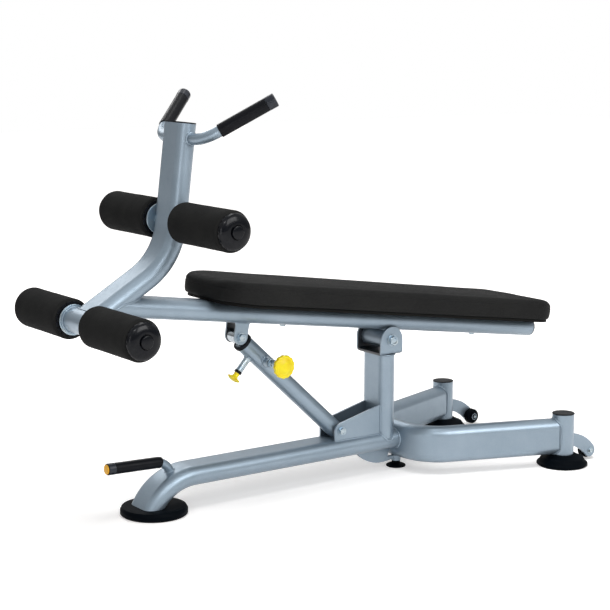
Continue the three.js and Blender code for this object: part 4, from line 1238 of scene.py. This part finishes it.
def pressed_out(mesh, held_below):
    """Runs the cloth: foam under pressure fills the cover, whose lower hem is held."""
    cover = placed("cover_under_pressure", mesh)
    scene = bpy.context.scene
    before = np.array([v.co for v in mesh.vertices])
    held = cover.vertex_groups.new(name="held")
    held.add([i for i, z in enumerate(before[:, 2]) if z < held_below], 1.0, "REPLACE")
    cloth = cover.modifiers.new("cover", "CLOTH")
    for name, value in CLOTH.items():
        setattr(cloth.settings, name, value)
    cloth.settings.effector_weights.gravity = 0
    cloth.point_cache.frame_start = 1
    cloth.point_cache.frame_end = CLOTH_FRAMES
    for step in range(1, CLOTH_FRAMES + 1):
        scene.frame_set(step)
    shaped = cover.evaluated_get(bpy.context.evaluated_depsgraph_get())
    after = np.array([v.co for v in shaped.data.vertices])
    scene.frame_set(1)
    bpy.data.objects.remove(cover)
    return before, after - before


def filled(rings, most=5.0, share=0.55, near=70):
    """The cover filled by its foam: the cloth's movement, capped, carried over to its rings."""
    before, moves = pressed_out(even_cover(rings), (PAD.bottom + 4) * MM)
    size = np.linalg.norm(moves, axis=1, keepdims=True) / MM
    cap = np.where(size > 1e-6, most * np.tanh(size / most) / np.maximum(size, 1e-6), 1)
    moves = moves * share / MM * cap
    tree = KDTree(len(before))
    for index, place in enumerate(before):
        tree.insert(Vector(place), index)
    tree.balance()
    result = rings.copy()
    for level, ring in enumerate(rings):
        for i, point in enumerate(ring):
            found = tree.find_n(Vector(point) * MM, near)
            weights = np.array([1 / (gap + 0.012) ** 2 for _, _, gap in found])
            nearest = moves[[index for _, index, _ in found]]
            result[level, i] += (nearest * weights[:, None]).sum(0) / weights.sum()
    return result


def seamed(rings, normals, seam=15, depth=1.1):
    """Adds a sewn seam: rings close to one ring of the cover, pulled in like a thread line."""
    centre = rings[seam]
    sides = [rings[seam + step] - centre for step in (-1, 1)]
    below, above = (side / np.linalg.norm(side, axis=1, keepdims=True) for side in sides)
    puckers = np.array([noise.noise(Vector(point) * 0.09) for point in centre])[:, None]
    pull = depth * (1 + 0.5 * puckers) * normals
    lip = 0.35 * normals
    made = [centre + below * 3.2 + lip, centre + below * 1.3 - 0.25 * pull, centre - pull,
            centre + above * 1.3 - 0.25 * pull, centre + above * 3.2 + lip]
    return np.concatenate([rings[:seam], made, rings[seam + 1:]])


def drawn_in(rings, points, normals, first=6, last=10):
    """Small gathers on the corners, where the cover is pulled under the board."""
    middle_x = (PAD.front + PAD.rear) / 2
    corner = np.clip(1.6 * np.abs(normals[:, 0] * normals[:, 1]), 0, 1)
    run = np.concatenate([[0], np.cumsum(np.linalg.norm(np.diff(points, axis=0), axis=1))])
    ends = np.copysign(5, points[:, 0] - middle_x)
    wave = np.array([noise.noise(Vector((r / 11, 3.0, end))) for r, end in zip(run, ends)])
    for level in range(first, last):
        fade = 1 - (level - first) / (last - first)
        rings[level] += normals * (0.5 * corner * wave * fade)[:, None]
    return rings


def make_pad():
    points, normals = pad_plan()
    rings = pad_rings(points, normals)
    rings = filled(rings)
    form = cover_form(seamed(drawn_in(rings, points, normals), normals))
    pad = piece("pad", form, ON_RAIL, "bench", "pad_vinyl", ["bench_pad"], smooth=60, even=False)
    smooth = pad.modifiers.new("soft_surface", "SUBSURF")
    smooth.levels = 1
    smooth.render_levels = 1


make_pad()


# ---------- the frame's own nodes that stay ----------
def rounds_smoothed(limit=math.radians(32)):
    """A modifier group for the frame's own nodes: joins their facets and shades rounds smooth."""
    group = bpy.data.node_groups.new("rounds_smoothed", "GeometryNodeTree")
    for way in ("INPUT", "OUTPUT"):
        group.interface.new_socket("Geometry", in_out=way, socket_type="NodeSocketGeometry")
    n = Nodes(group)
    entry = n.node("NodeGroupInput")
    joined = n.node("GeometryNodeMergeByDistance", inputs={"Geometry": entry, "Distance": 1e-5})
    bend = n.node("GeometryNodeInputMeshEdgeAngle")
    sharp = n.node("FunctionNodeCompare", inputs={0: bend, 1: limit})
    inputs = {"Mesh": joined, "Remove Custom": True, "Edge Sharpness": sharp}
    shaded = n.node("GeometryNodeSetMeshNormal", {"mode": "SHARPNESS"}, inputs)
    n.feed(group.nodes.new("NodeGroupOutput").inputs[0], shaded)
    return group


ROUNDS = rounds_smoothed()
for node_name, node in frame["nodes"].items():
    slot_name = node.data.materials[0].name.split(".")[0]
    for index in range(len(node.data.materials)):
        node.data.materials[index] = SHADED_PAINT.get(node_name, FINISHES[slot_name])
    node.modifiers.new("rounds_smoothed", "NODES").node_group = ROUNDS


# ---------- studio ----------
BLACK, WHITE = (0, 0, 0, 1), (1, 1, 1, 1)


def studio_floor():
    """Pale floor that glows where it is seen, up to plain white away from the bench."""
    f = Finish("studio_floor", roughness=0.9, specular_ior_level=0.1, base_color=colour(232, 231, 230))
    glow = f.spread(f.vector("LENGTH", f.place, output="Value"), 0.7, 2.2, 0.40, 1.0)
    shown = f.math("MAXIMUM", f.ray("Camera"), f.ray("Glossy"))
    return f.set(
        emission_color=f.mix(shown * glow, BLACK, (1.0, 0.97, 0.95, 1)),
        emission_strength=1.0,
    )


def make_floor(reach=14):
    mesh = bpy.data.meshes.new("floor")
    corners = [(-reach, -reach, 0), (reach, -reach, 0), (reach, reach, 0), (-reach, reach, 0)]
    mesh.from_pydata(corners, [], [(0, 1, 2, 3)])
    mesh.materials.append(studio_floor())
    floor = placed("floor", mesh)
    return floor


def make_tent():
    """White behind the bench. Its reflections see a tent, grey at the foot and bright above."""
    world = bpy.data.worlds.new("studio")
    bpy.context.scene.world = world
    world.use_nodes = True
    n = Nodes(world.node_tree)
    height = n.axis(n.node("ShaderNodeTexCoord", output="Generated"), "Z")
    tent = n.mix(n.spread(height, 0.08, 0.55, 0.30, 0.92), BLACK, WHITE)
    shade = n.mix(n.ray("Glossy"), (0.30, 0.31, 0.32, 1), tent)
    shade = n.mix(n.math("MAXIMUM", n.ray("Camera"), n.ray("Transmission")), shade, WHITE)
    n.feed(n.tree.nodes["Background"].inputs["Color"], shade)


def soft_light(name, at, target, size, power):
    lamp = bpy.data.lights.new(name, "AREA")
    lamp.shape = "RECTANGLE"
    lamp.size, lamp.size_y = size
    lamp.energy = power
    made = placed(name, lamp)
    made.location = at
    made.rotation_euler = (Vector(target) - Vector(at)).to_track_quat("-Z", "Y").to_euler()
    return made


def linked_to(lamp, thing, state):
    """Has a lamp light only this thing, or all but this thing."""
    group = bpy.data.collections.new(lamp.name + "_lights")
    group.objects.link(thing)
    group.collection_objects[0].light_linking.link_state = state
    lamp.light_linking.receiver_collection = group


# Each lamp's place, the point it faces, its size in metres and its watts.
LAMPS = {
    "key": ((0.6, -3.7, 2.6), (0, 0, 0.4), (2.5, 2.0), 94),
    "above_floor": ((-0.3, -0.4, 2.6), (-0.1, 0, 0), (1.6, 1.6), 60),
    "kicker": ((-1.9, -3.2, 3.3), (-0.2, 0, 0.6), (0.5, 0.5), 22),
    "strip": ((-3.3, -2.5, 0.9), (-0.2, 0, 0.6), (0.35, 1.5), 14),
    "overhead": ((0.1, -0.1, 3.4), (0, 0, 0.3), (1.4, 0.9), 25),
    "behind": ((0.4, 3.1, 2.6), (-0.1, 0, 0.5), (2.4, 1.1), 26),
}
CAMERA = Sizes(azimuth=-35.722, down=9.686, roll=0.165, lens=93.92, at=(-2.4323, -3.2935, 1.170))


def make_camera():
    turn, down = math.radians(CAMERA.azimuth), math.radians(CAMERA.down)
    back = Vector((math.sin(turn) * math.cos(down), -math.cos(turn) * math.cos(down), math.sin(down)))
    right = Vector((0, 0, 1)).cross(back).normalized()
    axes = Matrix((right, back.cross(right), back)).transposed().to_4x4()
    data = bpy.data.cameras.new("camera")
    data.lens = CAMERA.lens
    data.sensor_width = 36
    camera = placed("camera", data)
    camera.matrix_world = shift(*CAMERA.at) @ axes @ Matrix.Rotation(math.radians(CAMERA.roll), 4, "Z")
    bpy.context.scene.camera = camera


studio = make_floor()
make_tent()
lamps = {name: soft_light(name, *settings) for name, settings in LAMPS.items()}
linked_to(lamps["key"], studio, "EXCLUDE")
linked_to(lamps["above_floor"], studio, "INCLUDE")
make_camera()
bpy.context.scene.view_settings.view_transform = "Standard"
